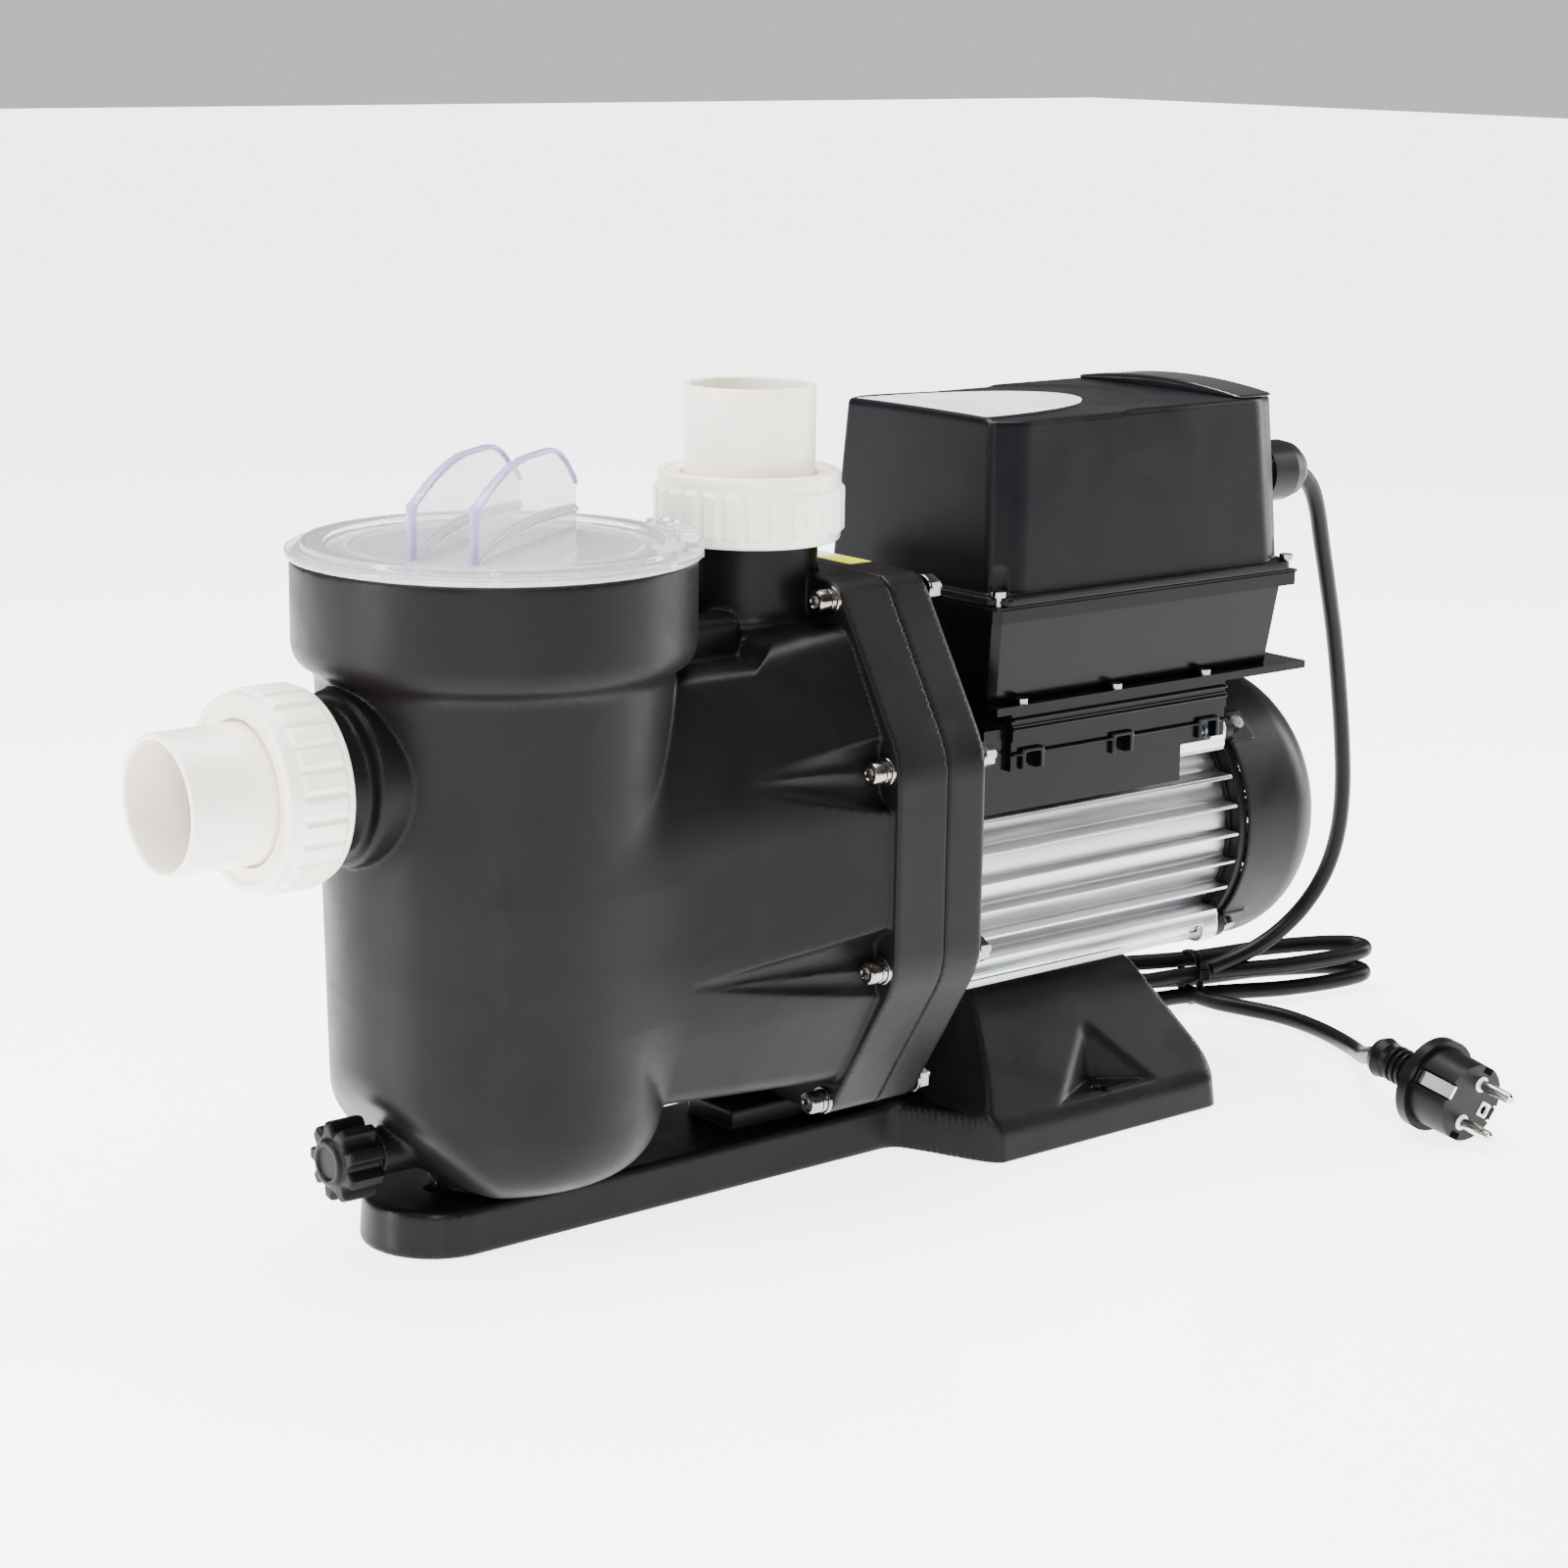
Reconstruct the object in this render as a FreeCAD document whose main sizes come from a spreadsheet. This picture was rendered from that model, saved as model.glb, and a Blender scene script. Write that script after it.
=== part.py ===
import FreeCAD, Part
import math
import os

import Sketcher
from FreeCAD import Placement, Rotation, Vector

DRIVING_SIZES = [
    # pot (strainer tank), on the Z axis
    ("pot_floor", 25), ("pot_base_radius", 67), ("pot_top_radius", 71.5), ("pot_corner", 18),
    ("pot_bore_radius", 64), ("collar_floor", 233.5), ("collar_top", 277), ("collar_radius", 80.5),
    ("collar_bore_radius", 73), ("thread_floor", 252),
    # ports
    ("inlet_height", 196), ("outlet_x", 128), ("port_radius", 33), ("port_bore_radius", 23),
    ("neck_radius", 29), ("inlet_nut_start", 88.6), ("outlet_nut_start", 272.4),
    ("port_face", 18), ("tail_radius", 27.5), ("tail_bore_radius", 25), ("tail_collar", 6),
    ("inlet_tail_end", 152.5), ("outlet_tail_end", 337),
    ("nut_radius", 40), ("nut_length", 29.5), ("nut_shoulder", 5.5), ("ring_section", 1.75),
    # octagonal joint between the wet end and the motor
    ("joint_height", 144), ("joint_front", 136.5), ("joint_middle", 163.5), ("joint_back", 185),
    ("joint_width", 89.3), ("joint_side", 46), ("joint_top_width", 46.8), ("joint_rise", 115),
    ("bolt_y_high", 45), ("bolt_z_high", 107.6), ("bolt_y_low", 81.5), ("bolt_z_low", 42),
    ("bolt_radius", 3), ("bolt_hole_radius", 3.3), ("washer_radius", 6),
    # wet end
    ("shaft_height", 123), ("volute_radius", 68), ("volute_front", 100), ("eye_radius", 24),
    ("casing_width", 86), ("casing_side", 42), ("casing_top_width", 54), ("casing_rise", 98.5),
    ("impeller_radius", 50), ("impeller_front", 124), ("impeller_back", 150),
    # motor
    ("fin_radius", 64), ("drum_radius", 56), ("drum_bore_radius", 49), ("drum_front", 191),
    ("drum_back", 366), ("fin_pitch", 12.7), ("fin_thickness", 1.8), ("rod_reach", 46),
    ("rod_radius", 2.5), ("shaft_radius", 8), ("cover_radius", 65.5), ("cover_front", 371),
    ("cover_back", 429), ("cover_wall", 2),
    # base
    ("strip_width", 31), ("strip_end", 30.5), ("strip_height", 20), ("foot_front", 212),
    ("foot_back", 348.4), ("foot_width", 76), ("foot_wall", 18), ("saddle_height", 62),
    # control box
    ("box_front", 212.7), ("box_back", 399.2), ("box_width", 62.6), ("box_seam", 241),
    ("box_rim_floor", 235.4), ("box_rim_top", 246.5), ("box_top", 321), ("box_floor", 195),
    ("gland_y", -32), ("gland_z", 283), ("cord_radius", 4),
    # lid
    ("lid_radius", 82.5), ("lid_floor", 277.3), ("lid_rim_top", 281), ("lid_grip_top", 323),
    # drain
    ("drain_height", 41), ("drain_knob_radius", 16.5),
]

doc = FreeCAD.newDocument("PoolPump")
sheet = doc.addObject("Spreadsheet::Sheet", "Sizes")
for row, (alias, size) in enumerate(DRIVING_SIZES, start=1):
    sheet.set("A%d" % row, alias)
    sheet.set("B%d" % row, str(size))
    sheet.setAlias("B%d" % row, alias)
doc.recompute()

SUB_PARTS = []
AXES = {"X": Rotation(Vector(0, 1, 0), 90), "-X": Rotation(Vector(0, 1, 0), -90),
        "Y": Rotation(Vector(1, 0, 0), -90), "Z": Rotation()}


def bound(text):
    """An expression over the sheet: bare alias names become references to its cells."""
    text = str(text)
    for alias in sorted((name for name, _ in DRIVING_SIZES), key=len, reverse=True):
        text = text.replace("{%s}" % alias, "Sizes.%s" % alias)
    return text


def number(text):
    """The present value of an expression over the sheet."""
    found = sheet.evalExpression(bound(text))
    return float(getattr(found, "Value", found))


def size(alias):
    return float(sheet.get(alias))


def sub_part(label, shape_object):
    """Marks an object as a finished sub-part under its own label."""
    shape_object.Label = label
    SUB_PARTS.append(shape_object)
    return shape_object


def place(made, at, axis="Z", spin=0):
    """Puts an object at a point given by expressions, with its own Z along an axis."""
    made.Placement = Placement(Vector(), AXES[axis].multiply(Rotation(Vector(0, 0, 1), spin)))
    for letter, text in zip("xyz", at):
        made.setExpression("Placement.Base.%s" % letter, bound(text))
    return made


def primitive(kind, at, axis="Z", spin=0, **sizes):
    """A Part primitive whose sizes and position follow the sheet."""
    made = doc.addObject("Part::%s" % kind, kind)
    for name, text in sizes.items():
        made.setExpression(name, bound(text))
    return place(made, at, axis, spin)


def cylinder(at, radius, height, axis="Z"):
    return primitive("Cylinder", at, axis, Radius=radius, Height=height)


def cone(at, radius, end_radius, height, axis="Z"):
    return primitive("Cone", at, axis, Radius1=radius, Radius2=end_radius, Height=height)


def torus(at, radius, section, axis="Z"):
    return primitive("Torus", at, axis, Radius1=radius, Radius2=section)


def box(at, length, width, height):
    return primitive("Box", at, Length=length, Width=width, Height=height)


def fuse(*pieces):
    made = doc.addObject("Part::MultiFuse", "Fusion")
    made.Shapes = list(pieces)
    made.Refine = True
    return made


def cut(base, *tools):
    made = doc.addObject("Part::Cut", "Cut")
    made.Base = base
    made.Tool = tools[0] if len(tools) == 1 else fuse(*tools)
    made.Refine = True
    return made


def common(*pieces):
    made = doc.addObject("Part::MultiCommon", "Common")
    made.Shapes = list(pieces)
    made.Refine = True
    return made


def group(*pieces):
    """Separate solids kept side by side in one sub-part."""
    made = doc.addObject("Part::Compound", "Group")
    made.Links = list(pieces)
    return made


def pin_corner(sketch, line, x_text, y_text):
    """Ties the first end of a line to the sheet."""
    for kind, text, own_axis in (("DistanceX", x_text, -2), ("DistanceY", y_text, -1)):
        value = number(text)
        if abs(value) < 1e-9:
            sketch.addConstraint(Sketcher.Constraint("PointOnObject", line, 1, own_axis))
            continue
        index = sketch.addConstraint(Sketcher.Constraint(kind, -1, 1, line, 1, value))
        sketch.setExpression("Constraints[%d]" % index, bound(text))


def outline(sketch, corners):
    """A closed outline of straight lines through corners given as pairs of expressions."""
    points = [Vector(number(x), number(y), 0) for x, y in corners]
    first = sketch.GeometryCount
    count = len(points)
    for index in range(count):
        sketch.addGeometry(Part.LineSegment(points[index], points[(index + 1) % count]), False)
    for index in range(count):
        following = first + (index + 1) % count
        sketch.addConstraint(Sketcher.Constraint("Coincident", first + index, 2, following, 1))
    for index, (x_text, y_text) in enumerate(corners):
        pin_corner(sketch, first + index, x_text, y_text)


def new_body(name):
    return doc.addObject("PartDesign::Body", name)


def plane_sketch(body, plane, corners, offset=None):
    """A sketch on one of the body's own origin planes, pushed off it by an expression."""
    sketch = body.newObject("Sketcher::SketchObject", "Outline")
    origin_planes = {item.Role: item for item in body.Origin.OriginFeatures}
    sketch.AttachmentSupport = [(origin_planes[plane], "")]
    sketch.MapMode = "FlatFace"
    if offset is not None:
        sketch.setExpression("AttachmentOffset.Base.z", bound(offset))
    outline(sketch, corners)
    return sketch


def turned(body, corners, axis="V_Axis", kind="Revolution"):
    """Turns an outline in the XZ plane about one of the sketch's axes."""
    sketch = plane_sketch(body, "XZ_Plane", corners)
    made = body.newObject("PartDesign::%s" % kind, kind)
    made.Profile = sketch
    made.ReferenceAxis = (sketch, [axis])
    made.Angle = 360
    doc.recompute()
    return made


def padded(body, plane, corners, length, offset=None, kind="Pad", both_ways=False, back=False):
    """Pads or pockets an outline by a length given as an expression."""
    sketch = plane_sketch(body, plane, corners, offset)
    made = body.newObject("PartDesign::%s" % kind, kind)
    made.Profile = sketch
    made.setExpression("Length", bound(length))
    made.Midplane = both_ways
    made.Reversed = back
    doc.recompute()
    return made


def rounded(body, radius, wanted, kind="Fillet"):
    """Fillets or chamfers the edges of the body's last feature that a test picks."""
    doc.recompute()
    base = body.Tip
    names = ["Edge%d" % (index + 1) for index, edge in enumerate(base.Shape.Edges) if wanted(edge)]
    made = body.newObject("PartDesign::%s" % kind, kind)
    made.Base = (base, names)
    made.setExpression("Radius" if kind == "Fillet" else "Size", bound(radius))
    doc.recompute()
    return made


def is_ring(edge, radius, height, axis="z"):
    """True for a full circle of a radius at a height along an axis."""
    curve = edge.Curve
    if not isinstance(curve, Part.Circle):
        return False
    return abs(curve.Radius - radius) < 0.05 and abs(getattr(curve.Center, axis) - height) < 0.05


def turned_part(label, corners, at=("0", "0", "0"), axis="Z", fillets=()):
    """A body turned about its own Z axis, then laid along an axis at a point."""
    body = new_body(label)
    turned(body, corners)
    for radius, ring_radius, ring_height in fillets:
        target = (number(ring_radius), number(ring_height))
        rounded(body, radius, lambda edge: is_ring(edge, *target))
    return sub_part(label, place(body, at, axis))


def octagon(half_width, side, top_width, rise, centre="{joint_height}"):
    """Corners of the tall octagon about the joint's centre, in the YZ plane."""
    quarter = [(top_width, rise), (half_width, side)]
    right = quarter + [(y, "-(%s)" % z) for y, z in reversed(quarter)]
    left = [("-(%s)" % y, z) for y, z in reversed(right)]
    return [(y, "%s+(%s)" % (centre, z)) for y, z in right + left]


def bolt_places():
    """Expressions for the eight bolt centres round the octagonal joint."""
    places = []
    for y_name, z_name in (("bolt_y_high", "bolt_z_high"), ("bolt_y_low", "bolt_z_low")):
        for y_sign in "+-":
            for z_sign in "+-":
                y_text = "0%s{%s}" % (y_sign, y_name)
                places.append((y_text, "{joint_height}%s{%s}" % (z_sign, z_name)))
    return places


def hexagon_bar(at, across, height, axis="X"):
    """A hexagonal prism by its width across flats."""
    made = doc.addObject("Part::Prism", "Prism")
    made.Polygon = 6
    made.setExpression("Circumradius", bound("(%s)/sqrt(3)" % across))
    made.setExpression("Height", bound(height))
    return place(made, at, axis)


# ---------------------------------------------------------------- wet end

def aimed_cone(start, end, radius, end_radius):
    """A cone between two points given as lists of expressions."""
    first = Vector(*[number(text) for text in start])
    last = Vector(*[number(text) for text in end])
    made = doc.addObject("Part::Cone", "Scoop")
    made.setExpression("Radius1", bound(radius))
    made.setExpression("Radius2", bound(end_radius))
    made.Height = (last - first).Length
    made.Placement = Placement(first, Rotation(Vector(0, 0, 1), last - first))
    return made


def bolt_holes(front, length):
    return [cylinder((front, y, z), "{bolt_hole_radius}", length, "X") for y, z in bolt_places()]


def pot_shell():
    """The strainer pot turned about Z, the flared casing and the front half of the joint."""
    body = new_body("PotAndCasing")
    turned(body, [("0", "{pot_floor}"), ("{pot_base_radius}", "{pot_floor}"),
                  ("{pot_top_radius}", "{collar_floor}"), ("{collar_radius}", "{collar_floor}"),
                  ("{collar_radius}", "{collar_top}"), ("0", "{collar_top}")])
    rounded(body, "{pot_corner}", lambda e: is_ring(e, size("pot_base_radius"), size("pot_floor")))
    rounded(body, "7", lambda e: is_ring(e, size("collar_radius"), size("collar_floor")))
    wide = octagon("{casing_width}", "{casing_side}", "{casing_top_width}", "{casing_rise}")
    narrow = octagon("{casing_width}-24", "{casing_side}-3", "{casing_top_width}-12",
                     "{casing_rise}-13", centre="{joint_height}-8")
    near_pot = plane_sketch(body, "YZ_Plane", narrow, "15")
    near_joint = plane_sketch(body, "YZ_Plane", wide, "{joint_front}")
    loft = body.newObject("PartDesign::AdditiveLoft", "Casing")
    loft.Profile = near_pot
    loft.Sections = [near_joint]
    loft.Ruled = True
    doc.recompute()
    padded(body, "YZ_Plane", octagon("{joint_width}", "{joint_side}", "{joint_top_width}",
                                     "{joint_rise}"),
           "{joint_middle}-{joint_front}", offset="{joint_front}")
    padded(body, "XZ_Plane", [("-95", "20"), ("-29", "20"), ("-95", "102")], "200",
           kind="Pocket", both_ways=True)
    return body


def pump_housing():
    shell = pot_shell()
    nut_line = "{outlet_nut_start}"
    neck = cylinder(("{outlet_x}", "0", "{joint_height}+60"), "{neck_radius}",
                    nut_line + "-{joint_height}-60")
    port_up = cylinder(("{outlet_x}", "0", nut_line), "{port_radius}", "{port_face}")
    inlet_neck = cylinder(("-{inlet_nut_start}", "0", "{inlet_height}"), "{neck_radius}", "40", "X")
    inlet_base = cylinder(("-73", "0", "{inlet_height}"), "{neck_radius}+6", "20", "X")
    port_side = cylinder(("-{inlet_nut_start}-{port_face}", "0", "{inlet_height}"), "{port_radius}",
                         "{port_face}", "X")
    drain_boss = cylinder(("-61", "0", "{drain_height}"), "9.5", "25", "X")
    webs = [box(("68", "%s" % y, "{joint_height}+75"), "40", "5", "27") for y in ("-28", "23")]
    solid = fuse(shell, neck, port_up, inlet_neck, inlet_base, port_side, drain_boss)
    valley = box(("60", "-42", "{joint_height}+82"), "40", "84", "60")
    outside = cut(solid, cut(valley, cylinder(("0", "0", "{joint_height}+70"), "{collar_radius}", "90")))
    pot_hollow = new_body("PotHollow")
    turned(pot_hollow, [("0", "33"), ("32", "33"), ("60", "72"), ("{pot_bore_radius}", "{thread_floor}"),
                        ("{collar_bore_radius}", "{thread_floor}"),
                        ("{collar_bore_radius}", "{collar_top}+1"), ("0", "{collar_top}+1")])
    volute = cylinder(("{volute_front}", "0", "{shaft_height}"), "{volute_radius}",
                      "{joint_middle}-{volute_front}+1", "X")
    eye = cylinder(("50", "0", "{shaft_height}"), "{eye_radius}", "80", "X")
    outlet = cylinder(("{outlet_x}", "0", "{shaft_height}"), "{port_bore_radius}", "200")
    inlet = cylinder(("-125", "0", "{inlet_height}"), "{port_bore_radius}", "70", "X")
    drain = cylinder(("-70", "0", "{drain_height}"), "6", "36", "X")
    scoops = []
    for side in ("-", ""):
        for rise in ("{bolt_z_low}", "-{bolt_z_low}"):
            height = "{joint_height}+(%s)" % rise
            scoops.append(aimed_cone(("{joint_front}", side + "83", height),
                                     ("40", side + "63", height + "-(%s)*0.18" % rise), "13", "1"))
            scoops.append(cylinder(("{joint_front}-6", side + "{bolt_y_low}", height),
                                   "{washer_radius}+0.8", "6", "X"))
        for rise in ("{bolt_z_high}", "-{bolt_z_high}"):
            scoops.append(cylinder(("{joint_front}-40", side + "{bolt_y_high}",
                                    "{joint_height}+(%s)" % rise),
                                   "8.5", "40", "X"))
    hollow = fuse(pot_hollow, volute, eye, outlet, inlet, drain, *scoops)
    screw_hole = cylinder(("{joint_front}+13.5", "0", "20"), "2.6", "19")
    shell_only = cut(fuse(outside, *webs), hollow, screw_hole, *bolt_holes("{joint_front}-1", "40"))
    return sub_part("pump_housing", shell_only)


def seal_plate():
    """The back half of the joint, which carries the motor and the shaft seal."""
    body = new_body("SealPlate")
    padded(body, "YZ_Plane", octagon("{joint_width}", "{joint_side}", "{joint_top_width}",
                                     "{joint_rise}"),
           "{joint_back}-{joint_middle}", offset="{joint_middle}")
    spigot = cylinder(("{joint_middle}-6", "0", "{shaft_height}"), "{volute_radius}-0.4", "8", "X")
    hub = cylinder(("{joint_back}-1", "0", "{shaft_height}"), "{drum_radius}+1", "4", "X")
    seat = cylinder(("{joint_middle}-7", "0", "{shaft_height}"), "15", "16", "X")
    shaft_hole = cylinder(("{joint_middle}-7", "0", "{shaft_height}"), "{shaft_radius}+1.5", "60", "X")
    ring = "{volute_radius}+3"
    groove = cut(cylinder(("{joint_middle}-1", "0", "{shaft_height}"), ring + "+2", "4.5", "X"),
                 cylinder(("{joint_middle}-2", "0", "{shaft_height}"), ring + "-2", "8", "X"))
    relief = cut(cylinder(("{joint_back}-12", "0", "{shaft_height}"), "{drum_radius}-8", "30", "X"),
                 cylinder(("{joint_back}-13", "0", "{shaft_height}"), "24", "40", "X"))
    screw_hole = cylinder(("{joint_middle}+11", "0", "20"), "2.6", "19")
    solid = cut(fuse(body, spigot, hub), seat, shaft_hole, groove, relief, screw_hole,
                *bolt_holes("{joint_middle}-1", "40"))
    return sub_part("seal_plate", solid)


def casing_o_ring():
    at = ("{joint_middle}+{ring_section}", "0", "{shaft_height}")
    return sub_part("casing_o_ring", torus(at, "{volute_radius}+3", "{ring_section}", "X"))


def joint_fasteners():
    """Socket-head screws with two washers in front, a washer and a hexagon nut behind."""
    screws, washers, nuts = [], [], []
    for y, z in bolt_places():
        head = cylinder(("{joint_front}-9.5", y, z), "5", "6", "X")
        shank = cylinder(("{joint_front}-3.5", y, z), "{bolt_radius}", "64", "X")
        socket = hexagon_bar(("{joint_front}-10.5", y, z), "5", "5")
        screws.append(cut(fuse(head, shank), socket))
        front = cylinder(("{joint_front}-3.5", y, z), "{washer_radius}-0.8", "1.9", "X")
        flat = cylinder(("{joint_front}-1.6", y, z), "{washer_radius}", "1.6", "X")
        back = cylinder(("{joint_back}", y, z), "{washer_radius}", "1.6", "X")
        hole = cylinder(("{joint_front}-5", y, z), "{bolt_radius}", "70", "X")
        washers.append(cut(fuse(front, flat), hole))
        washers.append(cut(back, cylinder(("{joint_back}-5", y, z), "{bolt_radius}", "20", "X")))
        nut = hexagon_bar(("{joint_back}+1.6", y, z), "10", "5.2")
        nuts.append(cut(nut, cylinder(("{joint_back}-5", y, z), "{bolt_radius}", "20", "X")))
    sub_part("casing_bolts", group(*screws))
    sub_part("casing_washers", group(*washers))
    sub_part("casing_nuts", group(*nuts))


def diffuser():
    """A guide ring that turns the flow from the impeller into the outlet."""
    plate = cut(cylinder(("{volute_front}", "0", "{shaft_height}"), "{volute_radius}-0.4", "5", "X"),
                cylinder(("{volute_front}-1", "0", "{shaft_height}"), "{eye_radius}-1", "8", "X"))
    vanes = []
    for turn in range(7):
        angle = math.radians(360 / 7 * turn + 20)
        reach = (size("impeller_radius") + size("volute_radius")) / 2 + 0.5
        at = ("{volute_front}+4", "%.3f" % (reach * math.cos(angle)),
              "{shaft_height}+%.3f" % (reach * math.sin(angle)))
        vanes.append(cylinder(at, "3", "46", "X"))
    return sub_part("diffuser", fuse(plate, *vanes))


def casing_label():
    """A small blank sticker on the flat top of the joint."""
    at = ("{joint_back}-14", "-15", "{joint_height}+{joint_rise}")
    return sub_part("casing_label", box(at, "12", "42", "0.3"))


# ---------------------------------------------------------------- lid and basket

def handle_fin(offset):
    """One arched upright fin across the lid, in its own frame before the lid's turn."""
    body = new_body("Fin")
    padded(body, "XZ_Plane",
           [("-52", "{lid_rim_top}-2"), ("-56", "{lid_grip_top}-14"), ("-44", "{lid_grip_top}-6"),
            ("-24", "{lid_grip_top}-1"), ("0", "{lid_grip_top}"), ("24", "{lid_grip_top}-1"),
            ("44", "{lid_grip_top}-6"), ("56", "{lid_grip_top}-14"), ("52", "{lid_rim_top}-2")],
           "3", offset=offset, both_ways=True)
    made = doc.addObject("Part::Compound", "FinTurned")
    made.Links = [body]
    made.Placement = Placement(Vector(), Rotation(Vector(0, 0, 1), 32))
    return made


def lid():
    disc = new_body("LidDisc")
    turned(disc, [("0", "{lid_floor}"), ("67", "{lid_floor}"), ("67", "{thread_floor}+4"),
                  ("{collar_bore_radius}-0.4", "{thread_floor}+4"), ("{collar_bore_radius}-0.4",
                                                                     "{lid_floor}"),
                  ("{lid_radius}", "{lid_floor}"), ("{lid_radius}", "{lid_rim_top}"),
                  ("77", "{lid_rim_top}+1"), ("75", "{lid_rim_top}+3"), ("68", "{lid_rim_top}+3"),
                  ("66", "{lid_rim_top}"), ("0", "{lid_rim_top}")])
    fins = [handle_fin("-13"), handle_fin("13")]
    teeth = []
    for step in range(5):
        angle = math.radians(-36 + 6 * step)
        at = ("%.3f" % (79.3 * math.cos(angle)), "%.3f" % (79.3 * math.sin(angle)), "{lid_rim_top}-1")
        teeth.append(cylinder(at, "3.1", "6"))
    return sub_part("lid", fuse(disc, *fins, *teeth))


def lid_o_ring():
    at = ("0", "0", "{thread_floor}+2")
    return sub_part("lid_o_ring", torus(at, "{collar_bore_radius}-2.3", "{ring_section}"))


def strainer_basket():
    """A tapered slotted cup with a hanging rim, a hole that faces the inlet and a bail across."""
    cup = new_body("BasketCup")
    rim = "{thread_floor}+0.3"
    turned(cup, [("0", "80"), ("54", "80"), ("59.5", rim), ("67.5", rim), ("67.5", rim + "+2.5"),
                 ("57.5", rim + "+2.5"), ("52", "82.5"), ("0", "82.5")])
    slots = []
    for turn in range(9):
        for row in range(3):
            slot = doc.addObject("Part::Box", "Slot")
            slot.Length = 140
            slot.Width = 5
            slot.Height = 38
            spin = Rotation(Vector(0, 0, 1), 20 * turn)
            corner = spin.multVec(Vector(-70, -2.5, 0))
            slot.Placement = Placement(corner + Vector(0, 0, 90 + 48 * row), spin)
            slots.append(slot)
    door = cylinder(("-75", "0", "{inlet_height}"), "{port_bore_radius}", "40", "X")
    bail = box(("-2", "-58.5", rim + "-8"), "4", "117", "5")
    return sub_part("strainer_basket", fuse(cut(cup, *slots, door), bail))


# ---------------------------------------------------------------- unions

def union_tail(label, start, end, at_axis):
    """A glue-in pipe tail with the collar that the union nut pulls against the port."""
    ring_line = "{port_radius}-4.2"
    groove = start + "+2*{ring_section}+0.3"
    corners = [("{tail_bore_radius}", start), (ring_line + "-{ring_section}", start),
               (ring_line + "-{ring_section}", groove), (ring_line + "+{ring_section}", groove),
               (ring_line + "+{ring_section}", start), ("{port_radius}-0.2", start),
               ("{port_radius}-0.2", start + "+{tail_collar}"), ("{tail_radius}",
                                                                 start + "+{tail_collar}"),
               ("{tail_radius}", end), ("{tail_bore_radius}", end)]
    return turned_part(label, corners, *at_axis)


def union_nut(label, start, at_axis):
    """A union nut: a threaded sleeve with a lip, and ribs between two smooth shoulders."""
    body = new_body(label)
    turned(body, [("{port_radius}+0.3", start), ("{nut_radius}-1", start), ("{nut_radius}",
                                                                            start + "+1"),
                  ("{nut_radius}", start + "+3"), ("{nut_radius}-1.3", start + "+3.6"),
                  ("{nut_radius}-1.3", start + "+{nut_length}-{nut_shoulder}-0.6"),
                  ("{nut_radius}", start + "+{nut_length}-{nut_shoulder}"),
                  ("{nut_radius}", start + "+{nut_length}-2"), ("{nut_radius}-2",
                                                                start + "+{nut_length}"),
                  ("{tail_radius}+1.2", start + "+{nut_length}"),
                  ("{tail_radius}+1.2", start + "+{port_face}+{tail_collar}+0.7"),
                  ("{port_radius}+0.3", start + "+{port_face}+{tail_collar}+0.7")])
    rib = padded(body, "XZ_Plane", [("{nut_radius}-3", start + "+2"), ("{nut_radius}-0.1", start + "+2"),
                                    ("{nut_radius}-0.1", start + "+{nut_length}-4.5"),
                                    ("{nut_radius}-3",
                                     start + "+{nut_length}-4.5")], "5", both_ways=True)
    pattern = body.newObject("PartDesign::PolarPattern", "Ribs")
    pattern.Originals = [rib]
    pattern.Axis = (rib.Profile[0], ["V_Axis"])
    pattern.Angle = 360
    pattern.Occurrences = 30
    body.Tip = pattern
    doc.recompute()
    return sub_part(label, place(body, *at_axis))


def unions():
    """Both unions are the same parts: one lies along -X on the pot, one stands on the casing."""
    side = (("0", "0", "{inlet_height}"), "-X")
    up = (("{outlet_x}", "0", "0"), "Z")
    for name, start, end, at_axis in (
            ("inlet", "{inlet_nut_start}", "{inlet_tail_end}", side),
            ("outlet", "{outlet_nut_start}", "{outlet_tail_end}", up)):
        face = start + "+{port_face}+0.4"
        union_tail(name + "_tail", face, end, at_axis)
        union_nut(name + "_nut", start, at_axis)
        ring = doc.addObject("Part::Torus", "Torus")
        ring.setExpression("Radius1", bound("{port_radius}-4.2"))
        ring.setExpression("Radius2", bound("{ring_section}"))
        if name == "inlet":
            place(ring, ("-(%s)-{ring_section}-0.1" % face, "0", "{inlet_height}"), "X")
        else:
            place(ring, ("{outlet_x}", "0", face + "+{ring_section}+0.1"))
        sub_part(name + "_o_ring", ring)


# ---------------------------------------------------------------- drain

def drain_plug():
    """A hand screw with ribs round its cap and a plain shank in the drain hole."""
    line = "{drain_height}"
    cap = cylinder(("-82", "0", line), "{drain_knob_radius}-2", "19", "X")
    shank = cylinder(("-64", "0", line), "5.9", "24", "X")
    ribs = []
    for turn in range(9):
        angle = math.radians(40 * turn)
        reach = size("drain_knob_radius") - 3.2
        at = ("-80.5", "%.3f" % (reach * math.cos(angle)), line + "+%.3f" % (reach * math.sin(angle)))
        ribs.append(cylinder(at, "3.2", "17.5", "X"))
    sub_part("drain_plug", fuse(cap, shank, *ribs))
    gasket = cut(cylinder(("-62.7", "0", line), "9.2", "1.4", "X"), cylinder(("-65", "0", line), "6",
                                                                             "9", "X"))
    sub_part("drain_gasket", gasket)


# ---------------------------------------------------------------- base

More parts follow.
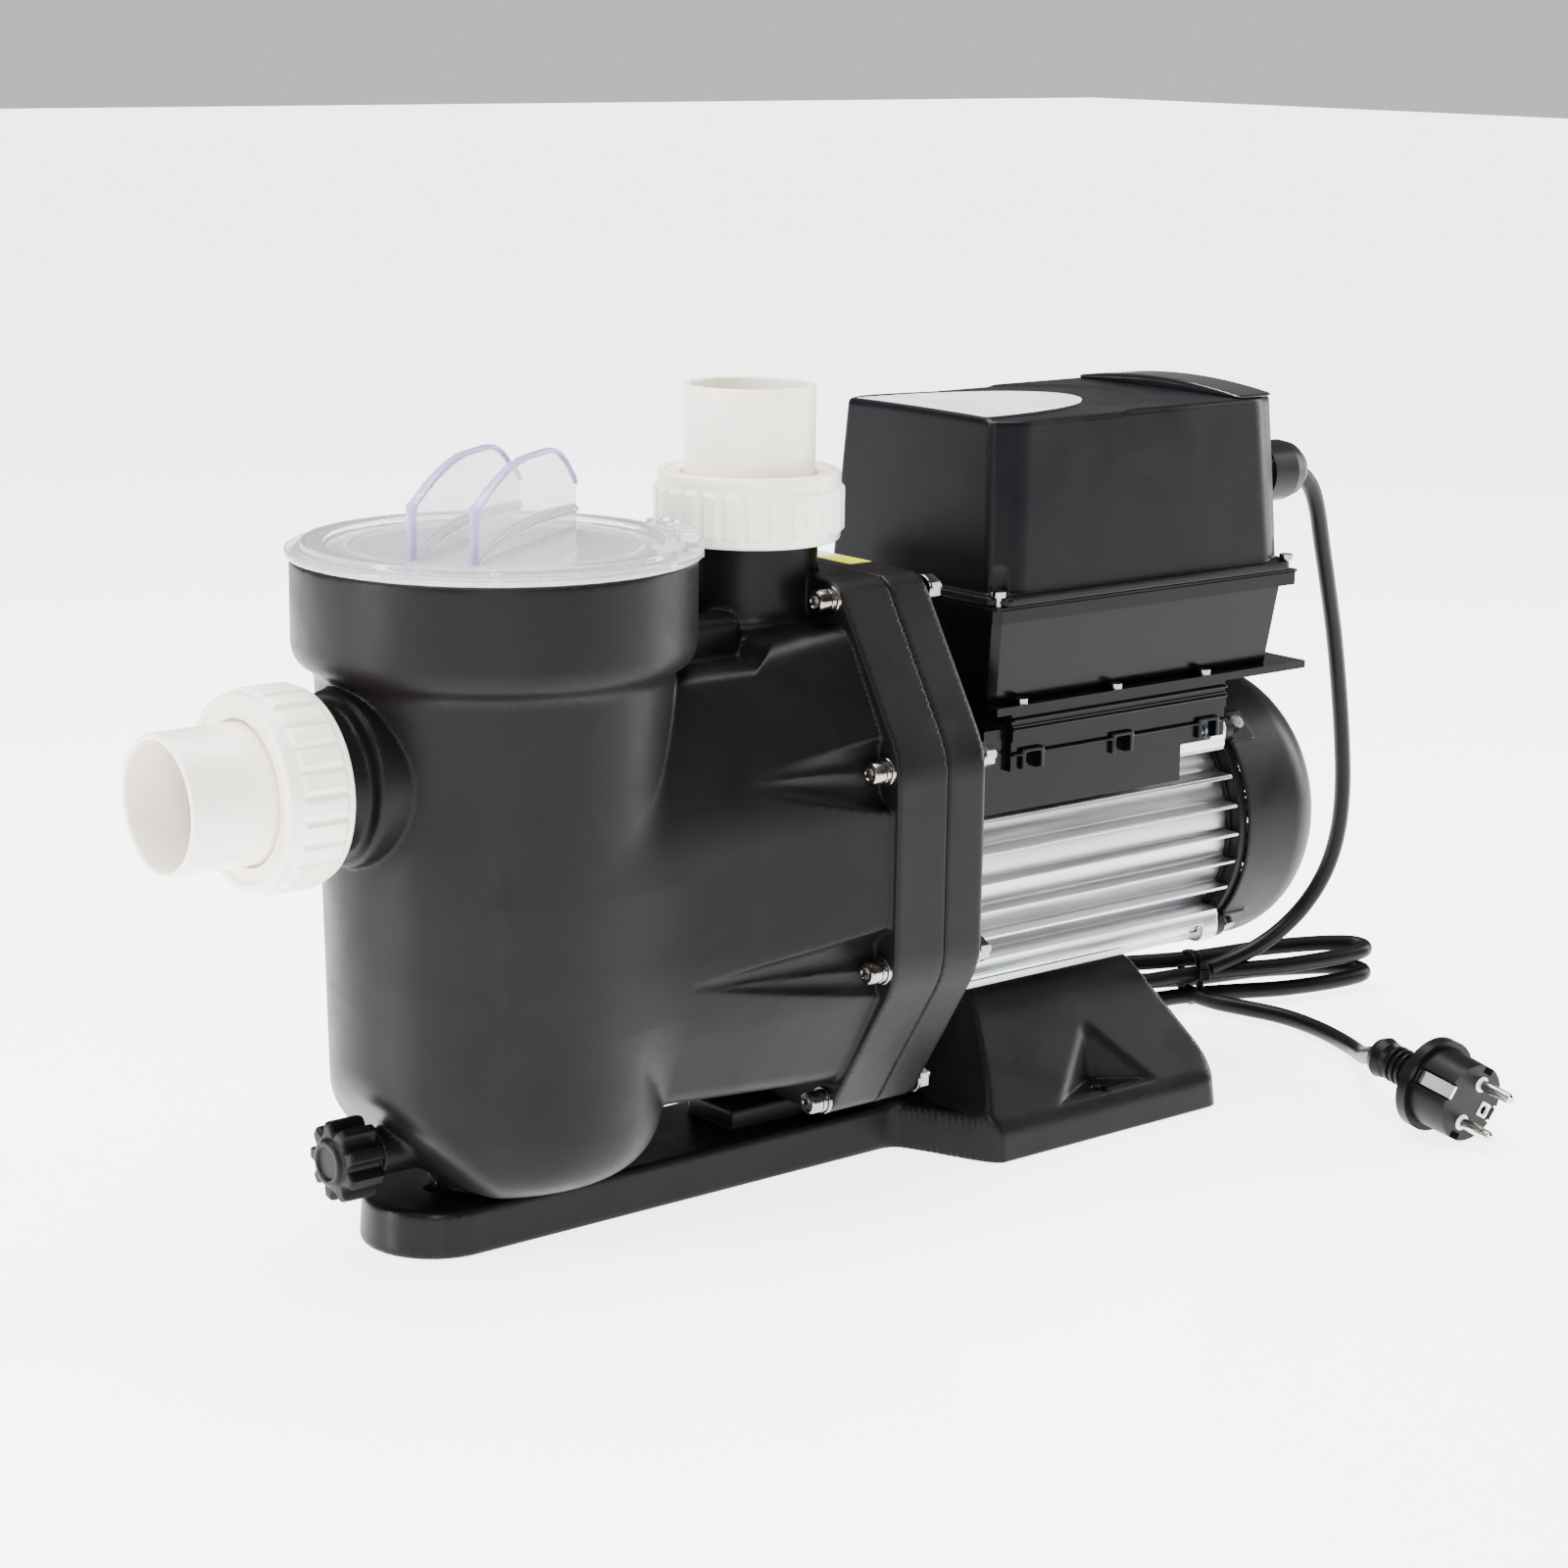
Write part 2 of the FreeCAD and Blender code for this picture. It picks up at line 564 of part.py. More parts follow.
def base():
    """A narrow rounded strip under the wet end that flares into the motor's saddle foot."""
    strip = fuse(box(("-{strip_end}", "-{strip_width}", "0"), "260", "2*{strip_width}",
                     "{strip_height}"),
                 cylinder(("-{strip_end}", "0", "0"), "{strip_width}", "{strip_height}"))
    flare_box = box(("{foot_front}-14", "-{strip_width}-14", "0"), "20", "2*{strip_width}+28",
                    "{strip_height}-2")
    flare_cuts = [cylinder(("{foot_front}-14", "%s({strip_width}+14)" % side, "-1"), "14",
                           "30") for side in "-+"]
    flare = cut(flare_box, *flare_cuts)
    foot = new_body("Foot")
    low = plane_sketch(foot, "XY_Plane", foot_outline("{foot_front}", "{foot_back}", "{foot_width}"))
    high = plane_sketch(foot, "XY_Plane", foot_outline("{foot_front}+5", "{foot_back}-3",
                                                       "{foot_width}-3"),
                        "{foot_wall}")
    wall = foot.newObject("PartDesign::AdditiveLoft", "FootWall")
    wall.Profile = low
    wall.Sections = [high]
    wall.Ruled = True
    doc.recompute()
    start = plane_sketch(foot, "XY_Plane", foot_outline("{foot_front}+5", "{foot_back}-3",
                                                        "{foot_width}-3"),
                         "{foot_wall}-0.01")
    crown = plane_sketch(foot, "XY_Plane", foot_outline("{foot_front}+20", "{foot_back}-16", "33"),
                         "{saddle_height}+6")
    slope = foot.newObject("PartDesign::AdditiveLoft", "FootSlope")
    slope.Profile = start
    slope.Sections = [crown]
    slope.Ruled = True
    doc.recompute()
    saddle = cylinder(("{joint_back}", "0", "{shaft_height}"), "{fin_radius}+0.5", "200", "X")
    pot_rest = cylinder(("0", "0", "{strip_height}-1"), "{strip_width}-3",
                        "{pot_floor}-{strip_height}+1")
    under = box(("{foot_front}+9", "-{foot_width}+10", "-1"), "{foot_back}-{foot_front}-18",
                "2*{foot_width}-20", "{foot_wall}-5")
    pockets, holes = [], []
    for side in ("-", ""):
        at = ("{foot_front}+72", side + "60", "{foot_wall}-4")
        pockets.append(cone(at, "21", "34", "40"))
        holes.append(cylinder(("{foot_front}+72", side + "60", "-2"), "4.5", "40"))
    keyhole = cylinder(("-{strip_end}", "0", "-1"), "4.5", "40")
    rest = box(("90", "-{strip_width}+6", "{strip_height}-1"), "95", "2*{strip_width}-12",
               "{joint_height}-{joint_rise}-{strip_height}+1")
    screw_holes = []
    for x in base_screw_places():
        screw_holes.append(cylinder((x, "0", "-1"), "5.4", "6"))
        screw_holes.append(cylinder((x, "0", "-1"), "2.6", "40"))
    solid = cut(fuse(strip, flare, foot, rest, pot_rest), saddle, under, keyhole,
                *pockets, *holes, *screw_holes)
    return sub_part("base", solid)


def foot_outline(front, back, width):
    return [(front, "-(%s)" % width), (back, "-(%s)" % width), (back, width), (front, width)]


def base_screw_places():
    return ("{joint_front}+13.5", "{joint_middle}+11")


def base_screws():
    """Two round-head screws up through the strip, one into each half of the joint."""
    screws = []
    for x in base_screw_places():
        head = cylinder((x, "0", "1.5"), "5", "3.5")
        shank = cylinder((x, "0", "4"), "2.5", "{joint_height}-{joint_rise}+6")
        screws.append(fuse(head, shank))
    return sub_part("base_screws", group(*screws))


# ---------------------------------------------------------------- motor

def rod_places():
    """Expressions for the four tie-rod centres round the motor's axis."""
    return [("%s{rod_reach}" % y, "{shaft_height}%s{rod_reach}" % z) for y in "-+" for z in "-+"]


def motor_housing():
    """An extruded drum with level side fins and upright fins below, and four tie-rod cradles."""
    length = "{drum_back}-{drum_front}"
    drum = cylinder(("{drum_front}", "0", "{shaft_height}"), "{drum_radius}", length, "X")
    envelope = cylinder(("{drum_front}", "0", "{shaft_height}"), "{fin_radius}", length, "X")
    blades = []
    for step in range(-2, 3):
        height = "{shaft_height}-2+%d*{fin_pitch}-{fin_thickness}/2" % step
        blades.append(box(("{drum_front}", "-80", height), length, "160", "{fin_thickness}"))
    for step in range(-2, 3):
        across = "%d*{fin_pitch}-{fin_thickness}/2" % step
        blades.append(box(("{drum_front}", across, "{shaft_height}-80"), length, "{fin_thickness}",
                          "80"))
    fins = common(envelope, fuse(*blades))
    lobes = [cylinder(("{drum_front}", y, z), "6.5", length, "X") for y, z in rod_places()]
    channels = []
    for y_sign in "-+":
        for z_sign in "-+":
            y = "%s({rod_reach}+1.5)" % y_sign
            z = "{shaft_height}%s({rod_reach}+1.5)" % z_sign
            channels.append(cylinder(("{drum_front}-1", y, z), "4.6", length + "+2", "X"))
    bore = cylinder(("{drum_front}-1", "0", "{shaft_height}"), "{drum_bore_radius}", length + "+2", "X")
    webs = []
    for turn in (45, 135):
        web = doc.addObject("Part::Box", "Web")
        web.setExpression("Length", bound(length))
        web.Width = 126
        web.Height = 11
        spin = Rotation(Vector(1, 0, 0), turn)
        corner = spin.multVec(Vector(0, -63, -5.5))
        web.Placement = Placement(corner + Vector(size("drum_front"), 0, size("shaft_height")), spin)
        webs.append(web)
    slivers = [box(("{drum_front}-1", y, "{shaft_height}-80"), length + "+2", "24", "40")
               for y in ("{rod_reach}-3", "-{rod_reach}-21")]
    return sub_part("motor_housing", cut(fuse(drum, cut(fins, *slivers), *lobes, *webs), bore,
                                         *channels))


def end_shield(label, start, thickness, spigot_shift):
    """A motor end shield with four ears for the tie rods and a bearing pocket."""
    at = (start, "0", "{shaft_height}")
    plate = cylinder(at, "{drum_radius}+1.5", thickness, "X")
    spigot = cylinder((start + spigot_shift, "0", "{shaft_height}"), "{drum_bore_radius}-0.2", "6", "X")
    ears = [cylinder((start, y, z), "6.5", thickness, "X") for y, z in rod_places()]
    arms = []
    for turn in (45, 135):
        arm = doc.addObject("Part::Box", "Arm")
        arm.Length = number(thickness)
        arm.Width = 130
        arm.Height = 11
        spin = Rotation(Vector(1, 0, 0), turn)
        corner = spin.multVec(Vector(0, -65, -5.5))
        arm.Placement = Placement(corner + Vector(number(start), 0, size("shaft_height")), spin)
        arms.append(arm)
    bearing = cylinder((start + "-30", "0", "{shaft_height}"), "15.05", "60", "X")
    rods = [cylinder((start + "-5", y, z), "{rod_radius}+0.2", "20", "X") for y, z in rod_places()]
    return sub_part(label, cut(fuse(plate, spigot, *ears, *arms), bearing, *rods))


def tie_rods():
    """Four steel rods from the joint into the ears of the rear shield."""
    rods = [cylinder(("{drum_front}-3", y, z), "{rod_radius}", "{drum_back}-{drum_front}+7.5", "X")
            for y, z in rod_places()]
    return sub_part("tie_rods", group(*rods))


def fan_cover():
    """A drum-shaped cowl over the fan, with a rounded back edge and an air grille."""
    corners = [("{cover_radius}-{cover_wall}", "0"), ("{cover_radius}", "0"), ("{cover_radius}-1", "34"),
               ("{cover_radius}-6", "47"), ("{cover_radius}-16", "{cover_back}-{cover_front}"),
               ("0", "{cover_back}-{cover_front}"), ("0", "{cover_back}-{cover_front}-{cover_wall}"),
               ("{cover_radius}-17", "{cover_back}-{cover_front}-{cover_wall}"),
               ("{cover_radius}-8", "46"), ("{cover_radius}-3", "33.5")]
    cowl = new_body("Cowl")
    turned(cowl, corners)
    place(cowl, ("{cover_front}", "0", "{shaft_height}"), "X")
    slots = []
    for step in range(-3, 4):
        reach = math.sqrt(44 ** 2 - (12 * step) ** 2)
        slots.append(box(("{cover_back}-8", "-%.3f" % reach, "{shaft_height}+%d-2" % (12 * step)),
                         "12", "%.3f" % (2 * reach), "4"))
    pads = []
    for y_sign, z_sign in diagonals():
        pad = doc.addObject("Part::Box", "Pad")
        pad.Length = 15
        pad.Width = 14
        pad.Height = 4
        spin = Rotation(Vector(1, 0, 0), math.degrees(math.atan2(-y_sign, z_sign)))
        corner = spin.multVec(Vector(0, -7, size("cover_radius") - 3.2))
        pad.Placement = Placement(corner + Vector(size("cover_front"), 0, size("shaft_height")), spin)
        pads.append(pad)
    holes = [radial_pin(size("cover_front") + 6, y, z, 50, 2, 30) for y, z in diagonals()]
    return sub_part("fan_cover", cut(fuse(cowl, *pads), *slots, *holes))


def radial_pin(along, y_sign, z_sign, start, radius, length):
    """A cylinder that points away from the motor's axis on a diagonal."""
    spin = Rotation(Vector(0, 0, 1), Vector(0, y_sign, z_sign))
    pin = doc.addObject("Part::Cylinder", "Pin")
    pin.Radius = radius
    pin.Height = length
    pin.Placement = Placement(Vector(along, 0, size("shaft_height")) + spin.multVec(Vector(0, 0,
                                                                                           start)), spin)
    return pin


def diagonals():
    return [(y_sign, z_sign) for y_sign in (-1, 1) for z_sign in (-1, 1)]


def fan_cover_screws():
    """Four round-head screws that point in through the cover's pads."""
    along = size("cover_front") + 6
    screws = [fuse(radial_pin(along, y, z, 58, 1.8, 9), radial_pin(along, y, z, 66.4, 3.6, 2.6))
              for y, z in diagonals()]
    return sub_part("fan_cover_screws", group(*screws))


def on_shaft(x):
    """A point on the motor's axis at a place along X."""
    return (x, "0", "{shaft_height}")


def motor_inside():
    """Laminations, end turns and the two bearings."""
    core = cut(cylinder(on_shaft("{drum_front}+45"), "{drum_bore_radius}", "90", "X"),
               cylinder(on_shaft("{drum_front}+40"), "29", "120", "X"))
    sub_part("stator", core)
    ends = []
    for start in ("{drum_front}+25", "{drum_front}+135"):
        ends.append(cut(cylinder(on_shaft(start), "44", "20", "X"), cylinder(on_shaft(start + "-1"),
                                                                             "31", "30", "X")))
    sub_part("windings", group(*ends))
    for label, start in (("bearing_front", "{joint_back}+3"), ("bearing_rear", "{drum_back}-4")):
        ring = cut(cylinder(on_shaft(start), "15", "9", "X"),
                   cylinder(on_shaft(start + "-1"), "{shaft_radius}+0.03", "20", "X"))
        sub_part(label, ring)
    seat = cut(cylinder(on_shaft("{joint_middle}-6.8"), "14.9", "8", "X"),
               cylinder(on_shaft("{joint_middle}-9"), "{shaft_radius}+1.5", "30", "X"))
    sub_part("seal_seat", seat)


def rotor():
    """Everything on the shaft: rotor core, impeller, running seal and cooling fan."""
    long_shaft = cylinder(on_shaft("{impeller_front}+2"), "{shaft_radius}",
                          "{cover_back}-{impeller_front}-24", "X")
    sub_part("shaft", long_shaft)
    sub_part("rotor_core", cut(cylinder(on_shaft("{drum_front}+45"), "28.5", "90", "X"),
                               cylinder(on_shaft("{drum_front}+40"), "{shaft_radius}", "120", "X")))
    disc = cylinder(on_shaft("{impeller_back}-4"), "{impeller_radius}", "4", "X")
    shroud = cut(cylinder(on_shaft("{impeller_front}"), "{impeller_radius}", "3", "X"),
                 cylinder(on_shaft("{impeller_front}-1"), "20", "6", "X"))
    collar = cut(cylinder(on_shaft("{impeller_front}-8"), "{eye_radius}-1.6", "10", "X"),
                 cylinder(on_shaft("{impeller_front}-9"), "20", "20", "X"))
    hub = cylinder(on_shaft("{impeller_front}"), "12", "{impeller_back}-{impeller_front}", "X")
    vanes = []
    for turn in range(6):
        vane = doc.addObject("Part::Box", "Vane")
        vane.Length = number("{impeller_back}-{impeller_front}") - 3
        vane.Width = 36
        vane.Height = 3
        spin = Rotation(Vector(1, 0, 0), 60 * turn)
        corner = spin.multVec(Vector(0, 11, 0))
        vane.Placement = Placement(corner + Vector(size("impeller_front") + 1, 0, size("shaft_height")),
                                   spin)
        vanes.append(vane)
    sub_part("impeller", cut(fuse(disc, shroud, collar, hub, *vanes),
                             cylinder(on_shaft("{impeller_front}+2"), "{shaft_radius}", "60", "X")))
    sub_part("seal_head", cut(cylinder(on_shaft("{impeller_back}+0.3"), "13", "6", "X"),
                              cylinder(on_shaft("{impeller_back}-1"), "{shaft_radius}", "20", "X")))
    blades = []
    for turn in range(9):
        blade = doc.addObject("Part::Box", "Blade")
        blade.Length = 17
        blade.Width = 30
        blade.Height = 2
        spin = Rotation(Vector(1, 0, 0), 40 * turn)
        blade.Placement = Placement(spin.multVec(Vector(0, 20, 0))
                                    + Vector(size("cover_front") + 15, 0, size("shaft_height")), spin)
        blades.append(blade)
    boss = cylinder(on_shaft("{cover_front}+13"), "22", "19", "X")
    sub_part("fan", cut(fuse(boss, *blades), cylinder(on_shaft("{cover_front}"), "{shaft_radius}", "60",
                                                      "X")))


# ---------------------------------------------------------------- control box

def box_outline(front, back, width, corner_x, corner_y):
    """A rectangle with cut corners, in the XY plane."""
    return [(front + "+" + corner_x, "-(%s)" % width), (back + "-" + corner_x, "-(%s)" % width),
            (back, "-(%s)+%s" % (width, corner_y)), (back, "%s-%s" % (width, corner_y)),
            (back + "-" + corner_x, width), (front + "+" + corner_x, width),
            (front, "%s-%s" % (width, corner_y)), (front, "-(%s)+%s" % (width, corner_y))]


def tapered_block(low, high, low_height, high_height):
    """A block between two cut-corner rectangles at two heights."""
    body = new_body("Tapered")
    first = plane_sketch(body, "XY_Plane", box_outline(*low), low_height)
    last = plane_sketch(body, "XY_Plane", box_outline(*high), high_height)
    loft = body.newObject("PartDesign::AdditiveLoft", "Walls")
    loft.Profile = first
    loft.Sections = [last]
    loft.Ruled = True
    doc.recompute()
    return body


def rim_plate(low, thickness):
    body = new_body("Rim")
    outline_at = box_outline("{box_front}", "{box_back}", "{box_width}", "3", "3")
    padded(body, "XY_Plane", outline_at, thickness, offset=low)
    return body


def corner_screw_places():
    return [(x, y) for x in ("{box_front}+4.6", "{box_back}-4.6") for y in ("-{box_width}+4.6",
                                                                            "{box_width}-4.6")]


def corner_screw_holes():
    return [cylinder((x, y, "{box_rim_floor}-1"), "1.7", "30") for x, y in corner_screw_places()]


def lip_screw_places():
    return [(x, y) for x in ("{box_front}+21", "{box_front}+77.5", "{box_front}+133")
            for y in ("-{box_width}+6.2", "{box_width}-6.2")]


def lower_box():
    """The deep tray of the control box on a thin lip that runs out past its back."""
    lip = box(("{box_front}+4", "-{box_width}+2.6", "{box_floor}"), "{box_back}-{box_front}+5.5",
              "2*{box_width}-5.2", "3.5")
    outside = tapered_block(("{box_front}+7", "{box_back}-8", "{box_width}-10.1", "3", "3"),
                            ("{box_front}+4", "{box_back}-5", "{box_width}-4.6", "3", "3"),
                            "{box_floor}+1", "{box_rim_floor}+0.5")
    inside = tapered_block(("{box_front}+10", "{box_back}-11", "{box_width}-13.1", "3", "3"),
                           ("{box_front}+7", "{box_back}-8", "{box_width}-7.6", "3", "3"),
                           "{box_floor}+4", "{box_seam}+2")
    rim = rim_plate("{box_rim_floor}", "{box_seam}-{box_rim_floor}")
    screws = [cylinder((x, y, "{box_floor}-1"), "1.7", "6") for x, y in lip_screw_places()]
    return sub_part("lower_box", cut(fuse(lip, outside, rim), inside, *screws, *corner_screw_holes()))


def box_gasket():
    ring = box(("{box_front}+0.8", "-{box_width}+0.8", "{box_seam}"), "{box_back}-{box_front}-1.6",
               "2*{box_width}-1.6", "1.2")
    middle = box(("{box_front}+9", "-{box_width}+9", "{box_seam}-1"), "{box_back}-{box_front}-18",
                 "2*{box_width}-18", "4")
    return sub_part("box_gasket", cut(ring, middle, *corner_screw_holes()))


def half_oval(at_height, thickness, grow):
    """Half an oval plate whose straight side lies along the box's front edge."""
    rise_x, rise_y = 88 + grow, 43 + grow
    oval = Part.Ellipse(Vector(0, 0, 0), rise_x, rise_y)
    face = Part.Face(Part.Wire([Part.Edge(oval)]))
    plate = face.extrude(Vector(0, 0, thickness))
    keep = Part.makeBox(rise_x + 5, 2 * rise_y + 10, thickness, Vector(0, -rise_y - 5, 0))
    made = doc.addObject("Part::Feature", "HalfOval")
    made.Shape = plate.common(keep)
    made.Placement = Placement(Vector(size("box_front") + 12.5 - grow, 4, number(at_height)), Rotation())
    return made


def box_cover():
    """The upper shell: drafted walls with narrow facets at the corners and a sunk label bed."""
    outside = tapered_block(("{box_front}+4.3", "{box_back}-4.7", "{box_width}-5.1", "9", "7"),
                            ("{box_front}+9.2", "{box_back}-10.2", "{box_width}-12.1", "13", "6"),
                            "{box_rim_top}-0.5", "{box_top}")
    inside = tapered_block(("{box_front}+7.3", "{box_back}-7.7", "{box_width}-8.1", "9", "7"),
                           ("{box_front}+12.2", "{box_back}-13.2", "{box_width}-15.1", "13", "6"),
                           "{box_seam}-1", "{box_top}-4")
    rim = rim_plate("{box_seam}+1.2", "{box_rim_top}-{box_seam}-1.2")
    gland_hole = cylinder(("{box_back}-16", "{gland_y}", "{gland_z}"), "9", "20", "X")
    bed = half_oval("{box_top}-1.2", 5, 0.3)
    return sub_part("box_cover", cut(fuse(outside, rim), inside, gland_hole, bed, *corner_screw_holes()))


def box_trim():
    """The blank label in its bed and the crowned cap across the back edge."""
    sub_part("control_label", half_oval("{box_top}-1.2", 0.9, 0))
    slab = box(("{box_back}-37", "-{box_width}+13", "{box_top}"), "26", "2*{box_width}-26", "5")
    crown = cylinder(("{box_back}-45", "0", "{box_top}+5-330"), "330", "60", "X")
    sub_part("rear_cap", common(slab, crown))


def box_screws():
    corner, lip = [], []
    for x, y in corner_screw_places():
        corner.append(fuse(cylinder((x, y, "{box_rim_top}"), "3.2", "2.4"),
                           cylinder((x, y, "{box_rim_floor}+1"), "1.7", "12")))
    for x, y in lip_screw_places():
        lip.append(fuse(cylinder((x, y, "{box_floor}+3.5"), "3", "2.3"),
                        cylinder((x, y, "{box_floor}-5"), "1.7", "10")))
    sub_part("box_cover_screws", group(*corner))
    sub_part("box_flange_screws", group(*lip))


def terminal_bracket():
    """The saddle between the drum and the box, with snap notches along both skirts."""
    block = box(("{box_front}+12.5", "-{box_width}+2.6", "{box_floor}-25"), "131", "2*{box_width}-5.2",
                "25")
    strip = box(("{box_front}+12.5", "-{box_width}+1.6", "{box_floor}-12"), "131", "2*{box_width}-3.2",
                "7")
    tunnel = box(("{box_front}", "-{box_width}+5.6", "{box_floor}-26"), "160", "2*{box_width}-11.2",
                 "19.5")
    notches = []
    for start in (7, 61, 115):
        notches.append(box(("{box_front}+12.5+%d" % start, "-80", "{box_floor}-26"), "9", "160", "9"))
    holes = [cylinder((x, y, "{box_floor}-6"), "1.7", "10") for x, y in lip_screw_places()]
    return sub_part("terminal_bracket", cut(fuse(block, strip), tunnel, *notches, *holes))


def skirt_plate():
    plates = [box(("{box_front}-0.5", y, "{shaft_height}+28.5"), "120", "1.8", "37")
              for y in ("-{box_width}+5.7", "{box_width}-7.5")]
    return sub_part("skirt_plate", group(*plates))


def box_inside():
    """A run capacitor on the tray's floor and a board on four posts."""
    sub_part("capacitor", cylinder(("{box_back}-105", "21", "{box_floor}+19"), "15", "78", "X"))
    board = box(("{box_front}+17", "-44", "{box_seam}+9"), "150", "88", "1.6")
    posts = [cylinder((x, y, "{box_floor}+4"), "3", "{box_seam}-{box_floor}+5.5")
             for x in ("{box_front}+24", "{box_front}+160") for y in ("-41", "41")]
    relay = box(("{box_front}+60", "-20", "{box_seam}+10"), "28", "22", "20")
    screen = box(("{box_front}+40", "4", "{box_seam}+10"), "50", "30", "12")
    sub_part("circuit_board", fuse(board, *posts, relay, screen))


def cable_gland():
    spigot = cylinder(("{box_back}-15", "{gland_y}", "{gland_z}"), "8.9", "12", "X")
    collar = hexagon_bar(("{box_back}-6", "{gland_y}", "{gland_z}"), "24", "6")
    sub_part("cable_gland", fuse(spigot, collar))
    turned_part("gland_nut", [("0", "0"), ("14", "0"), ("14", "15"), ("12.5", "21"), ("9", "26"),
                              ("6.5", "28"), ("0", "28")],
                ("{box_back}", "{gland_y}", "{gland_z}"), "X")


# ---------------------------------------------------------------- cord, hank and plug

HANK_TURN = -17
HANK_WAIST = (455, 48)


def cord_tube(label, route):
    """Straight runs joined by tangent arcs, each arc as large as its two runs allow."""
    points = [Vector(*[number(text) for text in point]) for point in route]
    edges, start, length = [], points[0], 0
    for before, corner, after in zip(points, points[1:], points[2:]):
        inward = (before - corner).normalize()
        outward = (after - corner).normalize()
        turn = math.pi - inward.getAngle(outward)
        reach = 0.45 * min((before - corner).Length, (after - corner).Length)
        radius = reach / math.tan(turn / 2)
        first = corner + inward * reach
        last = corner + outward * reach
        centre_way = (inward + outward).normalize()
        middle = corner + centre_way * (radius / math.cos(turn / 2) - radius)
        edges.append(Part.LineSegment(start, first).toShape())
        edges.append(Part.Arc(first, middle, last).toShape())
        length += (first - start).Length + radius * turn
        start = last
        print("%s: turn %.0f degrees, radius %.0f mm" % (label, math.degrees(turn), radius))
    edges.append(Part.LineSegment(start, points[-1]).toShape())
    length += (points[-1] - start).Length
    radius = size("cord_radius")
    ring = Part.makeCircle(radius, points[0], points[1] - points[0])
    tube = Part.Wire(edges).makePipeShell([Part.Wire([ring])], True, False)
    expected = math.pi * radius ** 2 * length
    print("%s: length %.0f mm, volume ratio %.3f" % (label, length, tube.Volume / expected))
    made = doc.addObject("Part::Feature", label)
    made.Shape = tube
    made.Placement = Placement()
    return sub_part(label, made)


def cords():
    """The cord that falls from the gland to the hank, and the lead from the hank to the plug."""
    gland = ("{box_back}+28", "{gland_y}", "{gland_z}-1")
    cord_tube("cord_drop", [gland, ("438", "-30.3", "276.5"), ("448.5", "-26.8", "263.5"),
                            ("458.5", "-22", "244"), ("470", "-17", "221.5"), ("482.5", "-11.5", "196"),
                            ("493.5", "-6.5", "168"), ("503", "-2", "140"), ("511.5", "3", "112.5"),
                            ("516", "8.5", "87"), ("514.5", "14.5", "65"), ("506.5", "21.5", "46.5"),
                            ("493", "29", "32"), ("475.5", "35.5", "23"), ("459.5", "39.5", "19.5")])
    cord_tube("cord_lead", [("451", "47", "7"), ("451.5", "32", "5.5"), ("457", "13", "5.5"), ("463",
                                                                                               "-9", "5.5"),
                            ("462", "-32", "5"), ("456", "-54", "4.8"), ("445", "-74", "6.5"),
                            ("430", "-90", "11.5"), ("415", "-105", "19"), ("401", "-122.4", "26")])


def cord_hank():
    """The folded, tied length of cord as one solid with a waist under the tie."""
    body = new_body("Hank")
    plan = [("-82", "-10"), ("-70", "-15"), ("-45", "-15"), ("-6", "-9"), ("6", "-9"), ("62", "-17"),
            ("92", "-17"), ("106", "-8"), ("106", "8"), ("92", "17"), ("62", "17"), ("6", "9"),
            ("-6", "9"), ("-45", "15"), ("-70", "15"), ("-82", "10")]
    padded(body, "XY_Plane", plan, "24", offset="1.8")
    body.Placement = Placement(Vector(HANK_WAIST[0], HANK_WAIST[1], 0), Rotation(Vector(0, 0, 1),
                                                                                 HANK_TURN))
    return sub_part("cord_hank", body)


def cable_tie():
    strap = cut(box(("-2.4", "-10.4", "0.4"), "4.8", "20.8", "26.8"), box(("-3", "-9", "1.8"), "6",
                                                                          "18", "24"))
    head = box(("-3", "-16.3", "15"), "6", "6", "6")
    tie = fuse(strap, head)
    tie.Placement = Placement(Vector(HANK_WAIST[0], HANK_WAIST[1], 0), Rotation(Vector(0, 0, 1),
                                                                                HANK_TURN))
    return sub_part("cable_tie", tie)


PLUG_CENTRE = Vector(399, -158, 21.7)
PLUG_WAY = Vector(-0.057, -0.990, -0.128)
PIN_LINE = Vector(0.485, 0, 0.875)


def plug_frame():
    """The plug's place: local Z along the pins, local X along the line between them."""
    return Placement(PLUG_CENTRE, Rotation(PIN_LINE, Vector(), PLUG_WAY, "ZXY"))


